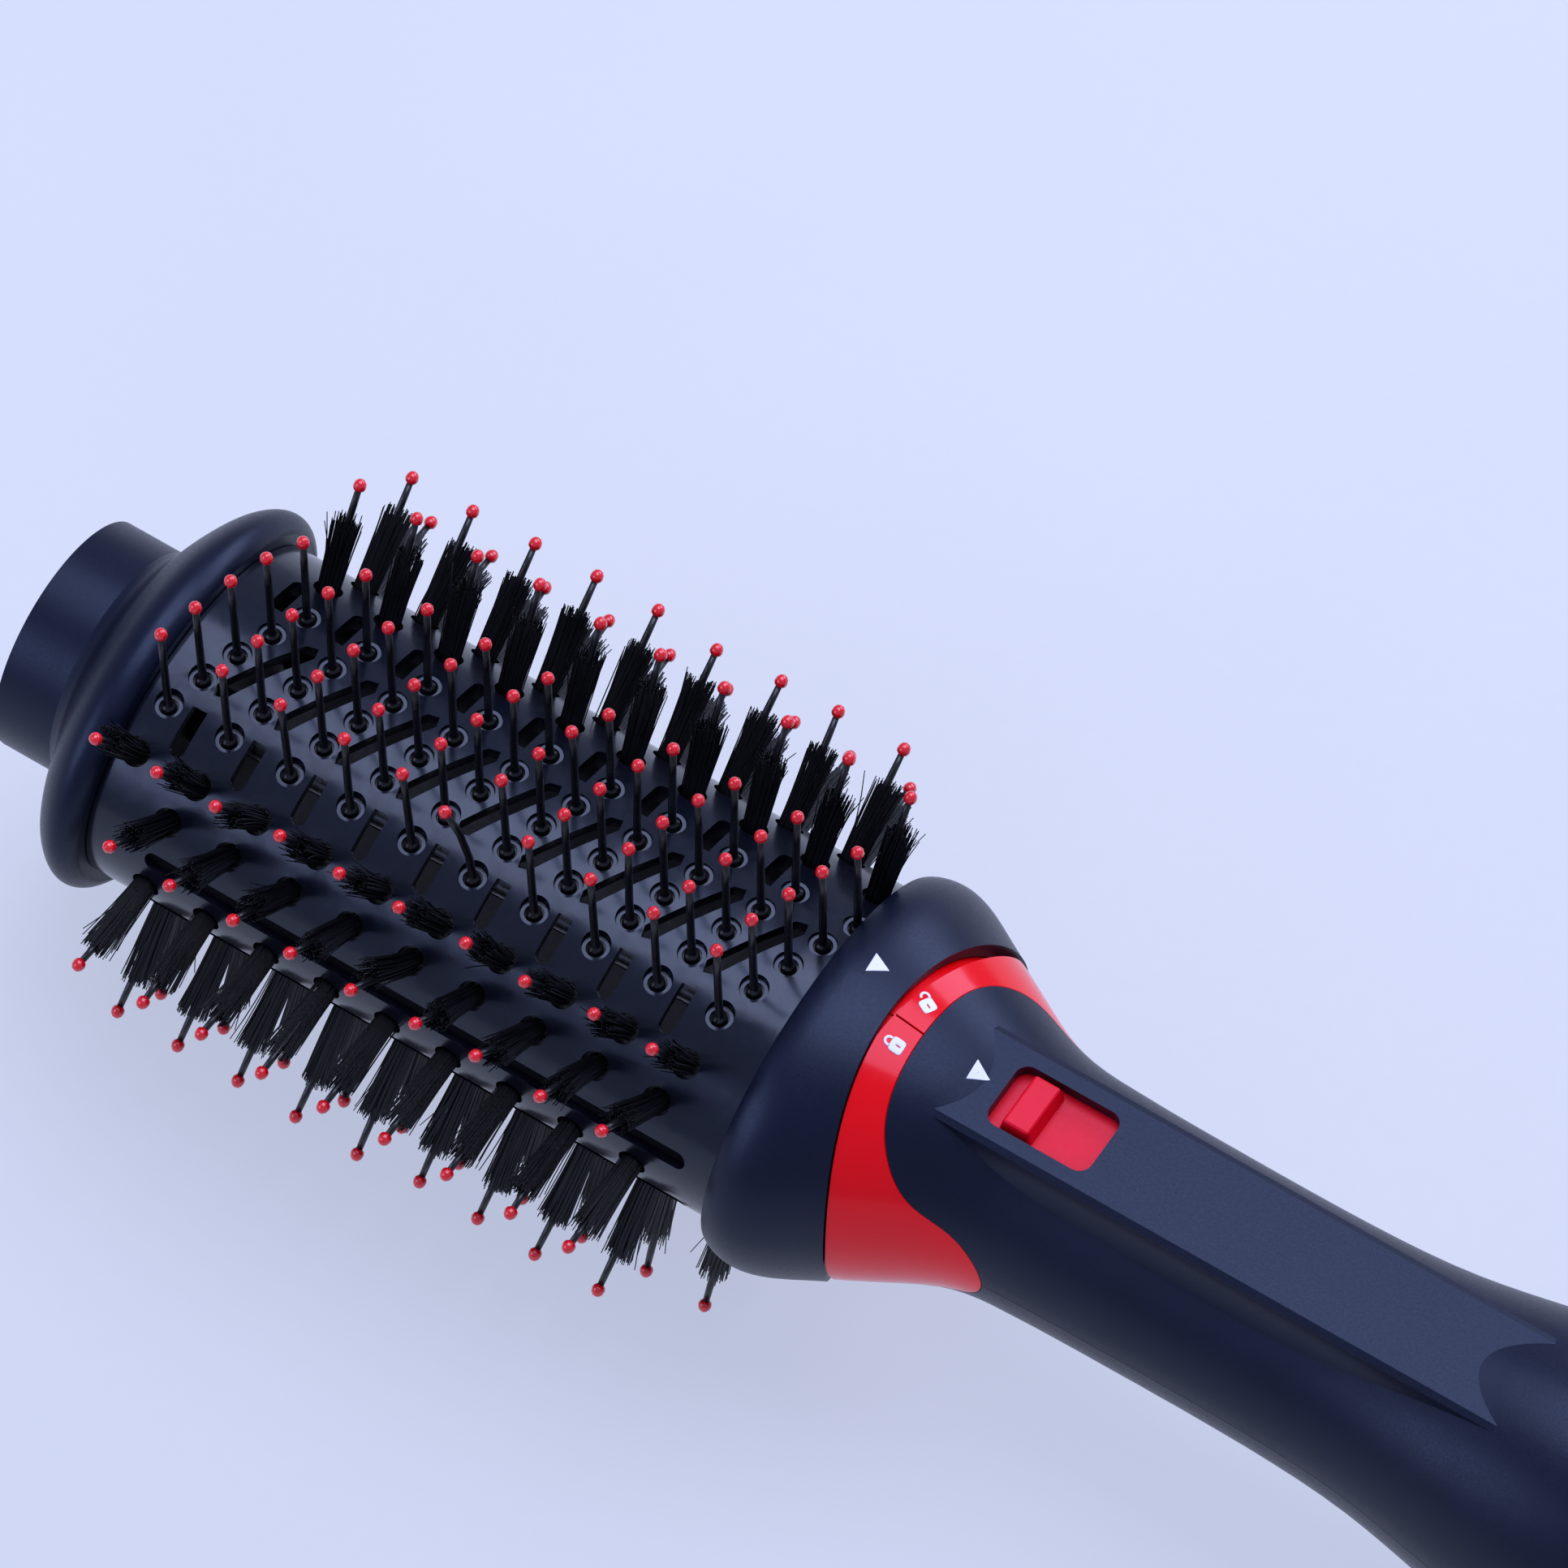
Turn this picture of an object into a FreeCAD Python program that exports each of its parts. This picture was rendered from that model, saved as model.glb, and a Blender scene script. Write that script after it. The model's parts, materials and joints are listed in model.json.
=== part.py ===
import FreeCAD, Part
import math
import os

# Hot-air styling brush: a vented oval ball-pin barrel that twist-locks on to a round handle.
# +X runs along the brush from the end of the cool tip to the cord, +Z out of the barrel's flat
# face, and the origin is the centre of the tip's end face, on the long axis. Millimetres.

Vector = FreeCAD.Vector
Rotation = FreeCAD.Rotation
Placement = FreeCAD.Placement

X_AXIS = Vector(1, 0, 0)
Y_AXIS = Vector(0, 1, 0)
Z_AXIS = Vector(0, 0, 1)
ALONG_X = Rotation(Y_AXIS, 90)
ELLIPSE_ACROSS_X = Rotation(Vector(1, 1, 1), 120)

doc = FreeCAD.newDocument("StylingBrush")
sheet = doc.addObject("Spreadsheet::Sheet", "Dims")

# Driving dimensions: alias, value in mm or degrees, what it is.
DIMENSIONS = (
    ("fit_gap", 0.15, "clearance between fixed parts that sit in each other"),
    ("run_gap", 0.3, "clearance between parts that turn or slide"),
    ("tip_radius", 19.4, "outside radius of the cool tip's tube"),
    ("tip_tube", 10.2, "straight length of the cool tip's tube"),
    ("tip_length", 24.2, "length of the cool tip with its flange"),
    ("tip_wall", 2.2, "wall of the cool tip"),
    ("cap_thick", 2.0, "thickness of the tip's end cap"),
    ("barrel_wide", 30.0, "half width of the oval barrel"),
    ("barrel_high", 23.5, "half height of the oval barrel"),
    ("barrel_wall", 1.2, "wall of the barrel"),
    ("barrel_length", 113.3, "barrel seen between the tip's flange and the collar"),
    ("barrel_tuck", 3.4, "barrel hidden inside the collar"),
    ("frame_wall", 1.5, "wall of the bristle frames inside the barrel"),
    ("tuft_pitch", 11.0, "spacing of pins and tufts along the barrel"),
    ("pins_start", 8.5, "first pin of the middle row, from the barrel's front"),
    ("row_shift", 2.2, "shift along the barrel from one pin row to the next"),
    ("row_pitch", 6.0, "spacing of the pin rows across the face"),
    ("row_fan", 0.8, "tilt added from one pin row to the next, degrees"),
    ("pin_stand", 20.6, "pin height from the barrel to the middle of its ball"),
    ("pin_radius", 0.65, "radius of a pin's shaft"),
    ("hub_radius", 1.2, "radius of a pin's root"),
    ("dish_radius", 2.45, "radius of the dish round a pin"),
    ("dish_depth", 0.75, "depth of the dish round a pin"),
    ("ball_radius", 1.05, "radius of a ball tip"),
    ("tuft_length", 13.6, "length of the bristles outside the barrel"),
    ("tuft_root", 2.0, "radius of a tuft where it leaves the barrel"),
    ("tuft_end", 2.7, "radius of a tuft at its free end"),
    ("slot_wide", 2.7, "width of the short air slots"),
    ("slot_slant", 30.0, "slant of the long air slots, degrees"),
    ("slot_long", 17.6, "length of the long air slots"),
    ("side_slot", 3.0, "width of the long slots along the barrel's sides"),
    ("side_angle", 12.0, "angle of the side slots above the middle plane, degrees"),
    ("rod_radius", 2.5, "radius of the tie rod"),
    ("seat_radius", 26.0, "bore of the collar over the handle's register"),
    ("spigot_radius", 18.6, "outside radius of the collar's spigot"),
    ("spigot_wall", 2.0, "wall of the spigot"),
    ("spigot_length", 15.0, "length of the spigot behind the collar's web"),
    ("lug_height", 2.0, "height of a bayonet lug"),
    ("lug_angle", 26.0, "width of a bayonet lug, degrees"),
    ("twist_angle", 18.4, "turn from the open mark to the locked mark, degrees"),
    ("saddle_radius", 66.0, "radius of the curved joint between collar and trim ring"),
    ("saddle_x", 12.2, "front of the curved joint, behind the collar's front edge"),
    ("ring_step", 0.4, "step from the collar down to the trim ring"),
    ("shell_wall", 2.0, "wall of the handle shells"),
    ("handle_length", 180.0, "handle from the collar's front edge to the end of the shells"),
    ("panel_high", 22.0, "height of the flat panel above the axis"),
    ("panel_wide", 8.6, "half width of the flat panel"),
    ("panel_foot", 13.4, "half width of the panel's flared foot"),
    ("window_x", 31.9, "front of the switch window, behind the collar's front edge"),
    ("window_long", 17.8, "length of the switch window"),
    ("window_wide", 11.4, "width of the switch window"),
    ("knob_x", 2.9, "front of the slider's knob, behind the window's front"),
    ("knob_long", 4.4, "length of the slider's knob"),
    ("slide_travel", 9.0, "travel of the slider"),
    ("skirt_thick", 1.4, "thickness of the slider's skirt"),
    ("skirt_depth", 2.4, "depth of the skirt's face below the panel"),
    ("sleeve_radius", 15.4, "outside radius of the heater sleeve"),
    ("heater_length", 52.0, "length of the heater"),
    ("fan_radius", 18.4, "radius of the fan"),
    ("motor_radius", 12.0, "radius of the motor"),
    ("motor_length", 24.0, "length of the motor"),
    ("shaft_radius", 1.0, "radius of the motor shaft"),
    ("grille_length", 18.0, "length of the air inlet grille"),
    ("cap_length", 8.0, "length of the rear cap"),
    ("gland_radius", 7.6, "outside radius of the cord gland"),
    ("gland_length", 14.0, "length of the gland behind the cap"),
    ("cord_radius", 3.5, "radius of the gland's cord bore"),
)
for row, (alias, value, meaning) in enumerate(DIMENSIONS, start=1):
    sheet.set("A%d" % row, alias)
    sheet.set("B%d" % row, repr(value))
    sheet.set("C%d" % row, meaning)
    sheet.setAlias("B%d" % row, alias)
doc.recompute()

# Places worked out from the driving dimensions, as expressions of the sheet.
BARREL_FRONT = "Dims.tip_length"
COLLAR_FRONT = "(Dims.tip_length + Dims.barrel_length)"
BARREL_END = "(%s + Dims.barrel_tuck)" % COLLAR_FRONT
SADDLE = "(%s + Dims.saddle_x)" % COLLAR_FRONT
SPIGOT_START = "(%s + 1)" % BARREL_END
SPIGOT_END = "(%s + Dims.spigot_length)" % BARREL_END
SHELL_END = "(%s + Dims.handle_length)" % COLLAR_FRONT
GRILLE_END = "(%s + Dims.grille_length)" % SHELL_END
CAP_END = "(%s + Dims.cap_length)" % GRILLE_END
WINDOW = "(%s + Dims.window_x)" % COLLAR_FRONT
HEATER = "(%s + 58)" % COLLAR_FRONT
FAN_FRONT = "(%s - 56)" % SHELL_END
MOTOR = "(%s + 26)" % FAN_FRONT

probe = doc.addObject("Part::Vertex", "origin_point")


def num(expression):
    """Value of an expression of the sheet."""
    return float(probe.evalExpression(expression))


def dim(alias):
    return num("Dims." + alias)


def bind(thing, **expressions):
    """Bind properties to expressions; x, y and z are the placement's base."""
    for name, expression in expressions.items():
        path = "Placement.Base." + name if name in ("x", "y", "z") else name
        thing.setExpression(path, str(expression))
    return thing


def cylinder(name, radius, start, length, y="0", z="0"):
    """Cylinder along X."""
    solid = doc.addObject("Part::Cylinder", name)
    solid.Placement = Placement(Vector(), ALONG_X)
    return bind(solid, Radius=radius, Height=length, x=start, y=y, z=z)


def cone(name, radius_front, radius_back, start, length):
    """Cone along X."""
    solid = doc.addObject("Part::Cone", name)
    solid.Placement = Placement(Vector(), ALONG_X)
    return bind(solid, Radius1=radius_front, Radius2=radius_back, Height=length, x=start)


def upright(name, radius, x, y, z, height):
    """Cylinder along Z."""
    solid = doc.addObject("Part::Cylinder", name)
    return bind(solid, Radius=radius, Height=height, x=x, y=y, z=z)


def block(name, x, y, z, length, width, height):
    """Box from its low corner."""
    solid = doc.addObject("Part::Box", name)
    return bind(solid, Length=length, Width=width, Height=height, x=x, y=y, z=z)


def mid_block(name, x, z, length, width, height):
    """Box centred on Y."""
    return block(name, x, "-(%s) / 2" % width, z, length, width, height)


def ellipse(name, x, half_width, half_height):
    """Ellipse across X, half_width along Y; needs half_width >= half_height."""
    curve = doc.addObject("Part::Ellipse", name)
    curve.Placement = Placement(Vector(), ELLIPSE_ACROSS_X)
    return bind(curve, MajorRadius=half_width, MinorRadius=half_height, x=x)


def oval_bar(name, start, length, half_width, half_height):
    """Oval prism along X."""
    bar = doc.addObject("Part::Extrusion", name)
    bar.Base = ellipse(name + "_outline", start, half_width, half_height)
    bar.DirMode = "Custom"
    bar.Dir = X_AXIS
    bar.Solid = True
    return bind(bar, LengthFwd=length)


def loft(name, stations, origin, inset="0"):
    """Smooth solid through oval stations (x from origin, half width, half height)."""
    form = doc.addObject("Part::Loft", name)
    form.Sections = [
        ellipse("%s_%d" % (name, index), "%s + %s" % (origin, x), "%s - (%s)" % (wide, inset),
                "%s - (%s)" % (high, inset))
        for index, (x, wide, high) in enumerate(stations)]
    form.Solid = True
    form.Ruled = False
    return form


def cut(name, base, *tools):
    """Base less its tools."""
    result = doc.addObject("Part::Cut", name)
    result.Base = base
    result.Tool = tools[0] if len(tools) == 1 else fuse(name + "_tools", *tools)
    return result


def fuse(name, *parts):
    result = doc.addObject("Part::MultiFuse", name)
    result.Shapes = list(parts)
    return result


def common(name, *parts):
    result = doc.addObject("Part::MultiCommon", name)
    result.Shapes = list(parts)
    return result


def group(name, *parts):
    """Separate solids in one object."""
    result = doc.addObject("Part::Compound", name)
    result.Links = list(parts)
    return result


def feature(name, shape, placement=None):
    """Shape worked out in code from the sheet's sizes."""
    result = doc.addObject("Part::Feature", name)
    result.Shape = shape
    if placement is not None:
        result.Placement = placement
    return result


def turned_copy(name, source, angle):
    """Copy of a body turned about X, by an expression in degrees."""
    doc.recompute()
    return feature(name, source.Shape.copy(), Placement(Vector(), Rotation(X_AXIS, num(angle))))


# ---------------------------------------------------------------- where the bristles stand

PIN_ROWS = (-2, -1, 0, 1, 2)
PINS_IN_ROW = 10
# Tuft rows on a side: angle of the root and of the tuft above the middle plane, start from the
# barrel's front on the near and on the far side, number of tufts, height of the ball.
TUFT_ROWS = (
    (42, 63, 3.2, 11.4, 10, 19.6),
    (27, 42, 12.4, 14.2, 9, 18.9),
    (0, 0, 11.0, 11.0, 9, 16.7),
    (-27, -42, 10.8, 11.0, 9, 18.9),
    (-42, -63, 11.4, 3.2, 10, 19.6),
)
SEAM_TURN = 37
NEAR, FAR = -1, 1
UPPER, LOWER = 1, -1


def oval_point(x, degrees_up, side):
    """Point of the barrel's surface at an angle above the middle plane."""
    angle = math.radians(degrees_up)
    wide, high = dim("barrel_wide"), dim("barrel_high")
    reach = 1 / math.hypot(math.cos(angle) / wide, math.sin(angle) / high)
    return Vector(x, side * reach * math.cos(angle), reach * math.sin(angle))


def standing(point, direction):
    """Placement that stands a shape's Z axis along a direction from a point, its seam turned off
    the barrel's own lines so that no hole starts on them."""
    return Placement(point, Rotation(Z_AXIS, direction).multiply(Rotation(Z_AXIS, SEAM_TURN)))


def pin_places(face):
    """Placements of one face's pins, skewed along the barrel from row to row."""
    places = []
    for row in PIN_ROWS:
        y = row * dim("row_pitch")
        z = dim("barrel_high") * math.sqrt(1 - (y / dim("barrel_wide")) ** 2)
        tilt = math.radians(row * dim("row_fan"))
        direction = Vector(0, math.sin(tilt), math.cos(tilt) * face)
        start = num(BARREL_FRONT) + dim("pins_start") + row * face * dim("row_shift")
        for step in range(PINS_IN_ROW):
            point = Vector(start + step * dim("tuft_pitch"), y, z * face)
            places.append(standing(point, direction))
    return places


def tuft_places(side):
    """Placements and ball heights of one side's tufts."""
    places = []
    for root, lean, near_start, far_start, count, stand in TUFT_ROWS:
        start = num(BARREL_FRONT) + (near_start if side == NEAR else far_start)
        angle = math.radians(lean)
        direction = Vector(0, side * math.cos(angle), math.sin(angle))
        for step in range(count):
            point = oval_point(start + step * dim("tuft_pitch"), root, side)
            places.append((standing(point, direction), stand))
    return places


def place(shape, placement):
    copy = shape.copy()
    copy.Placement = placement
    return copy


def turned_profile(points):
    """Solid of revolution about Z of (radius, height) points, closed along the axis."""
    wire = Part.makePolygon([Vector(r, 0, z) for r, z in points + points[:1]])
    return Part.Face(wire).revolve(Vector(), Z_AXIS, 360)


def pin_shape():
    """Ball pin without its ball: foot under the frame, root through the dish, tapered shaft."""
    below = dim("barrel_wall") + dim("fit_gap") + dim("frame_wall") + 0.95
    top = dim("pin_stand") - 0.8 * dim("ball_radius")
    return turned_profile([
        (0, -below - 0.8), (1.6, -below - 0.8), (1.6, -below), (dim("hub_radius"), -below),
        (dim("hub_radius"), -0.25), (dim("pin_radius"), 0.1), (0.85 * dim("pin_radius"), top), (0, top)])


def ball_shape(height):
    """Egg-shaped bead that sits on a shaft's end."""
    radius = dim("ball_radius")
    seat = height - 0.8 * radius
    curve = Part.BSplineCurve()
    curve.interpolate([
        Vector(0.6 * radius, 0, seat), Vector(radius, 0, height), Vector(0, 0, height + 1.2 * radius)],
        InitialTangent=Vector(1, 0, 0.7), FinalTangent=Vector(-1, 0, 0))
    wire = Part.Wire([
        curve.toShape(),
        Part.makeLine(Vector(0, 0, height + 1.2 * radius), Vector(0, 0, seat)),
        Part.makeLine(Vector(0, 0, seat), Vector(0.6 * radius, 0, seat))])
    return Part.Face(wire).revolve(Vector(), Z_AXIS, 360)


def tuft_depth():
    """How far a tuft's root reaches below the barrel's surface."""
    return dim("barrel_wall") + dim("fit_gap") + dim("frame_wall") + 0.4


def tuft_shape():
    """Bundle of bristles with the passage for its pin."""
    bore = dim("pin_radius") + 0.05
    return turned_profile([
        (bore, -tuft_depth()), (dim("tuft_root") - 0.15, -tuft_depth()), (dim("tuft_root") - 0.15, 0.6),
        (dim("tuft_end"), dim("tuft_length")), (bore, dim("tuft_length"))])


def tuft_pin_shape(height):
    """Long pin in a tuft, with its foot."""
    foot = -tuft_depth() - 0.1
    top = height - 0.8 * dim("ball_radius")
    return turned_profile([
        (0, foot - 0.8), (1.6, foot - 0.8), (1.6, foot), (dim("pin_radius"), foot),
        (dim("pin_radius"), top), (0, top)])


def bristles():
    """Pins, tufts, their pins and all the ball tips."""
    pin = pin_shape()
    ball = ball_shape(dim("pin_stand"))
    for name, face in (("upper", UPPER), ("lower", LOWER)):
        places = pin_places(face)
        feature("pins_" + name, Part.makeCompound([place(pin, spot) for spot in places]))
        feature("pin_balls_" + name, Part.makeCompound([place(ball, spot) for spot in places]))
    tuft = tuft_shape()
    for name, side in (("near", NEAR), ("far", FAR)):
        places = tuft_places(side)
        feature("tufts_" + name, Part.makeCompound([place(tuft, spot) for spot, _ in places]))
        feature("tuft_pins_" + name, Part.makeCompound(
            [place(tuft_pin_shape(stand), spot) for spot, stand in places]))
        feature("tuft_balls_" + name, Part.makeCompound(
            [place(ball_shape(stand), spot) for spot, stand in places]))


# ---------------------------------------------------------------- openings in the barrel

def pin_hole(clearance, with_dish):
    """Hole for a pin's root, with the dish in the barrel's surface."""
    radius = dim("hub_radius") + clearance
    hole = Part.makeCylinder(radius, 8, Vector(0, 0, -5))
    if not with_dish:
        return hole
    dish = Part.makeCone(
        dim("dish_radius") - 0.35, dim("dish_radius") + 0.1, dim("dish_depth") + 1,
        Vector(0, 0, -dim("dish_depth")))
    return hole.fuse(dish)


def slot_bar(length, width, pointed):
    """Upright prism of a slot, long along Y: pointed at both ends, or round at one."""
    half, side = length / 2, width / 2
    if pointed:
        outline = [(side, half - side), (0, half), (-side, half - side),
                   (-side, side - half), (0, -half), (side, side - half)]
        wire = Part.makePolygon([Vector(x, y, 0) for x, y in outline + outline[:1]])
        return Part.Face(wire).extrude(Vector(0, 0, 12))
    bar = Part.makeBox(width, length - side, 12, Vector(-side, side - half, 0))
    return bar.fuse(Part.makeCylinder(side, 12, Vector(0, side - half, 0)))


def face_slots(face, growth):
    """Slanted long slots in the middle and short slots on both shoulders of one face."""
    width = dim("slot_wide") + 2 * growth
    long_bar = slot_bar(dim("slot_long") + 2 * growth, width, True)
    short_bar = slot_bar(8.0 + 2 * growth, width - 0.1, False)
    start = num(BARREL_FRONT) + dim("pins_start") + dim("tuft_pitch") / 2
    turn_over = Rotation(X_AXIS, 0 if face == UPPER else 180)
    tools = []
    for step in range(PINS_IN_ROW - 1):
        middle = start + step * dim("tuft_pitch")
        slant = Rotation(Z_AXIS, -dim("slot_slant"))
        tools.append(place(long_bar, Placement(
            Vector(middle - 0.3, 0, face * 14), turn_over.multiply(slant))))
        for side in (NEAR, FAR):
            shoulder = oval_point(0, 55.5, side)
            x = middle + side * face * 2.35 * dim("row_shift")
            x = x if side * face == NEAR else x - dim("tuft_pitch")
            lean = Rotation(X_AXIS, -side * face * 30)
            flip = Rotation(Z_AXIS, 0 if side * face == NEAR else 180)
            root = Vector(x, shoulder.y - side * 4, face * (shoulder.z - 7))
            tools.append(place(short_bar, Placement(
                root, turn_over.multiply(lean).multiply(flip))))
    return tools


def side_slots(growth, face):
    """Long slots along both sides, on one face's half."""
    start = num(BARREL_FRONT) + 12
    length = dim("barrel_length") - 19
    width = dim("side_slot") + 2 * growth
    bar = Part.makeBox(length, 9, width, Vector(0, -4, -width / 2))
    ends = [Part.makeCylinder(width / 2, 9, Vector(x, -4, 0), Y_AXIS) for x in (0, length)]
    bar = bar.fuse(ends)
    tools = []
    for side in (NEAR, FAR):
        point = oval_point(start, face * dim("side_angle"), side)
        tools.append(place(bar, Placement(point, Rotation())))
    return tools


def pierce(name, solid, growth, with_dish, faces=(UPPER, LOWER)):
    """Cut the openings out of the barrel, or out of a frame when grown, set by set."""
    hole = pin_hole(0.35 if with_dish else 0.05, with_dish)
    tuft_hole = Part.makeCylinder(dim("tuft_root") + (0.35 if with_dish else -0.1), 8, Vector(0, 0, -5))
    sets = []
    for face in faces:
        sets.append(face_slots(face, growth))
        sets.append([place(hole, spot) for spot in pin_places(face)])
        sets.append(side_slots(growth, face))
    for side in (NEAR, FAR):
        sets.append([place(tuft_hole, spot) for spot, _ in tuft_places(side)
                     if len(faces) == 2 or spot.Base.z * faces[0] > -1])
    doc.recompute()
    shape = solid.Shape
    for tools in sets:
        shape = shape.cut(tools)
    return feature(name, shape)


# ---------------------------------------------------------------- head

TIP_STATIONS = (
    (0.0, "Dims.tip_radius", "Dims.tip_radius"),
    (1.6, "Dims.tip_radius + 1.0", "Dims.tip_radius + 0.6"),
    (3.6, "Dims.tip_radius + 5.2", "Dims.tip_radius + 3.0"),
    (5.6, "Dims.barrel_wide - 0.2", "Dims.barrel_high + 1.0"),
    (8.0, "Dims.barrel_wide + 2.9", "Dims.barrel_high + 3.1"),
    (10.6, "Dims.barrel_wide + 4.3", "Dims.barrel_high + 4.0"),
    (12.8, "Dims.barrel_wide + 3.7", "Dims.barrel_high + 3.4"),
    (14.0, "Dims.barrel_wide + 1.6", "Dims.barrel_high + 1.7"),
)


def cool_tip():
    """Tube that flares into the oval flange, closed by a vented cap, held by one screw."""
    tube = cylinder("tip_tube_bar", "Dims.tip_radius", "0", "Dims.tip_tube")
    flare = loft("tip_flare", TIP_STATIONS, "Dims.tip_length - 14")
    bore = cylinder("tip_bore", "Dims.tip_radius - Dims.tip_wall", "-1", "Dims.tip_length - 4")
    screw_hole = cylinder("tip_screw_hole", "Dims.rod_radius - 0.8", "0", "Dims.tip_length + 1")
    cut("cool_tip", fuse("tip_body", tube, flare), fuse("tip_hollow", bore, screw_hole))

    cap = cylinder("tip_cap_disc", "Dims.tip_radius - Dims.tip_wall - Dims.fit_gap", "0",
                   "Dims.cap_thick")
    vents = []
    for index in range(8):
        angle = math.radians(45 * index)
        vents.append(cylinder("tip_vent_%d" % index, "1.4", "-1", "Dims.cap_thick + 2",
                              y="%g * Dims.tip_radius" % (0.55 * math.cos(angle)),
                              z="%g * Dims.tip_radius" % (0.55 * math.sin(angle))))
    cut("tip_cap", cap, *vents)

    head = cylinder("tip_screw_head", "3.2", "Dims.tip_length - 7.4", "2.3")
    shank = cylinder("tip_screw_shank", "Dims.rod_radius - 1", "Dims.tip_length - 5.2", "13")
    fuse("tip_screw", head, shank)


def barrel():
    """Vented oval shell over two bristle frames, on bulkheads joined by a tie rod."""
    inside = "(Dims.barrel_wall + Dims.fit_gap)"
    start = "(%s + Dims.fit_gap)" % BARREL_FRONT
    length = "Dims.barrel_length + Dims.barrel_tuck - 2 * Dims.fit_gap"
    outer = oval_bar("barrel_bar", start, length, "Dims.barrel_wide", "Dims.barrel_high")
    hollow = oval_bar("barrel_hollow", BARREL_FRONT + " - 1", length + " + 4",
                      "Dims.barrel_wide - Dims.barrel_wall", "Dims.barrel_high - Dims.barrel_wall")
    tube = cut("barrel_tube", outer, hollow)
    pierce("barrel_shell", tube, 0, True)

    frame_start = "(%s + 2.1)" % BARREL_FRONT
    frame_length = "Dims.barrel_length - 1.9"
    frame = cut(
        "frame_tube",
        oval_bar("frame_bar", frame_start, frame_length, "Dims.barrel_wide - %s" % inside,
                 "Dims.barrel_high - %s" % inside),
        oval_bar("frame_hollow", frame_start + " - 1", frame_length + " + 2",
                 "Dims.barrel_wide - %s - Dims.frame_wall" % inside,
                 "Dims.barrel_high - %s - Dims.frame_wall" % inside))
    for name, face, low in (("upper", UPPER, "Dims.fit_gap / 2"), ("lower", LOWER, "-Dims.fit_gap / 2 - 40")):
        half = mid_block("frame_half_" + name, BARREL_FRONT, low, "Dims.barrel_length + 2", "80", "40")
        blank = common("frame_blank_" + name, frame, half)
        pierce("bristle_frame_" + name, blank, 0.4, False, (face,))

    plug_wide = "Dims.barrel_wide - %s" % inside
    plug_high = "Dims.barrel_high - %s" % inside
    plug = oval_bar("front_plug", start, "1.1", plug_wide, plug_high)
    boss = cylinder("front_boss", "Dims.rod_radius + 2.5", start, "8")
    tapped = cylinder("front_tapped", "Dims.rod_radius - 0.95", "%s - 1" % start, "5")
    socket = cylinder("front_socket", "Dims.rod_radius + 0.03", "%s + 4" % start, "6")
    cut("front_bulkhead", fuse("front_block", plug, boss), fuse("front_holes", tapped, socket))

    back_start = "(%s - 2.7)" % BARREL_END
    back = oval_bar("rear_plug", back_start, "2.5", plug_wide, plug_high)
    air_ways = []
    for index in range(6):
        angle = math.radians(60 * index + 30)
        air_ways.append(cylinder("air_way_%d" % index, "4.6", "%s - 1" % back_start, "6",
                                 y=str(10.5 * math.cos(angle)), z=str(10.5 * math.sin(angle))))
    rod_seat = cylinder("rear_seat", "Dims.rod_radius + 0.03", "%s - 1" % back_start, "6")
    cut("rear_bulkhead", back, rod_seat, *air_ways)

    rod_start = "(%s + 4.2)" % start
    rod = cylinder("tie_rod_bar", "Dims.rod_radius", rod_start, "%s - %s" % (BARREL_END, rod_start))
    tapped_end = cylinder("tie_rod_tapped", "Dims.rod_radius - 0.95", "%s - 1" % rod_start, "10")
    cut("tie_rod", rod, tapped_end)


SKIN_STATIONS = (
    (0.0, 33.0, 26.8), (4.5, 34.4, 28.1), (10.0, 33.1, 27.6), (15.5, 30.1, 26.4), (21.5, 26.9, 24.8),
    (27.5, 23.6, 22.9), (34.5, 20.6, 20.6), (44.0, 19.5, 19.5), (62.0, 19.2, 19.2), (86.0, 19.3, 19.3),
    (104.0, 20.5, 20.5), (118.0, 23.0, 23.0), (132.0, 25.4, 25.4), (148.0, 26.5, 26.5),
    (164.0, 26.6, 26.6), (180.0, 25.8, 25.8))
SKIN_LENGTH = 180.0
NECK_LENGTH = 62.0


def skin(name, inset):
    """Outer form of collar and handle, its stations spread over the handle's length."""
    scaled = [("Dims.handle_length * %g" % (x / SKIN_LENGTH) if x > NECK_LENGTH else x, wide, high)
              for x, wide, high in SKIN_STATIONS]
    return loft(name, scaled, COLLAR_FRONT, inset)


def in_front_of_saddle(name, gap):
    """Space in front of the curved joint between collar and handle."""
    centre = "%s + Dims.saddle_radius" % SADDLE
    space = mid_block(name + "_block", "%s - 40" % SADDLE, "-50", "Dims.saddle_radius + 40", "110", "100")
    drum = upright(name + "_drum", "Dims.saddle_radius - %s" % gap, centre, "0", "-60", "120")
    return cut(name, space, drum)


def lug_sector(name, radius, start, length, angle_start, angle_width):
    """Pie-shaped sector about X, angles from +Y towards +Z."""
    sector = doc.addObject("Part::Cylinder", name)
    quarter = Rotation(X_AXIS, num(angle_start)).multiply(ELLIPSE_ACROSS_X)
    sector.Placement = Placement(Vector(), quarter)
    return bind(sector, Radius=radius, Height=length, Angle=angle_width, x=start)


LUG_CENTRES = (90, 210, 330)


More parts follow.
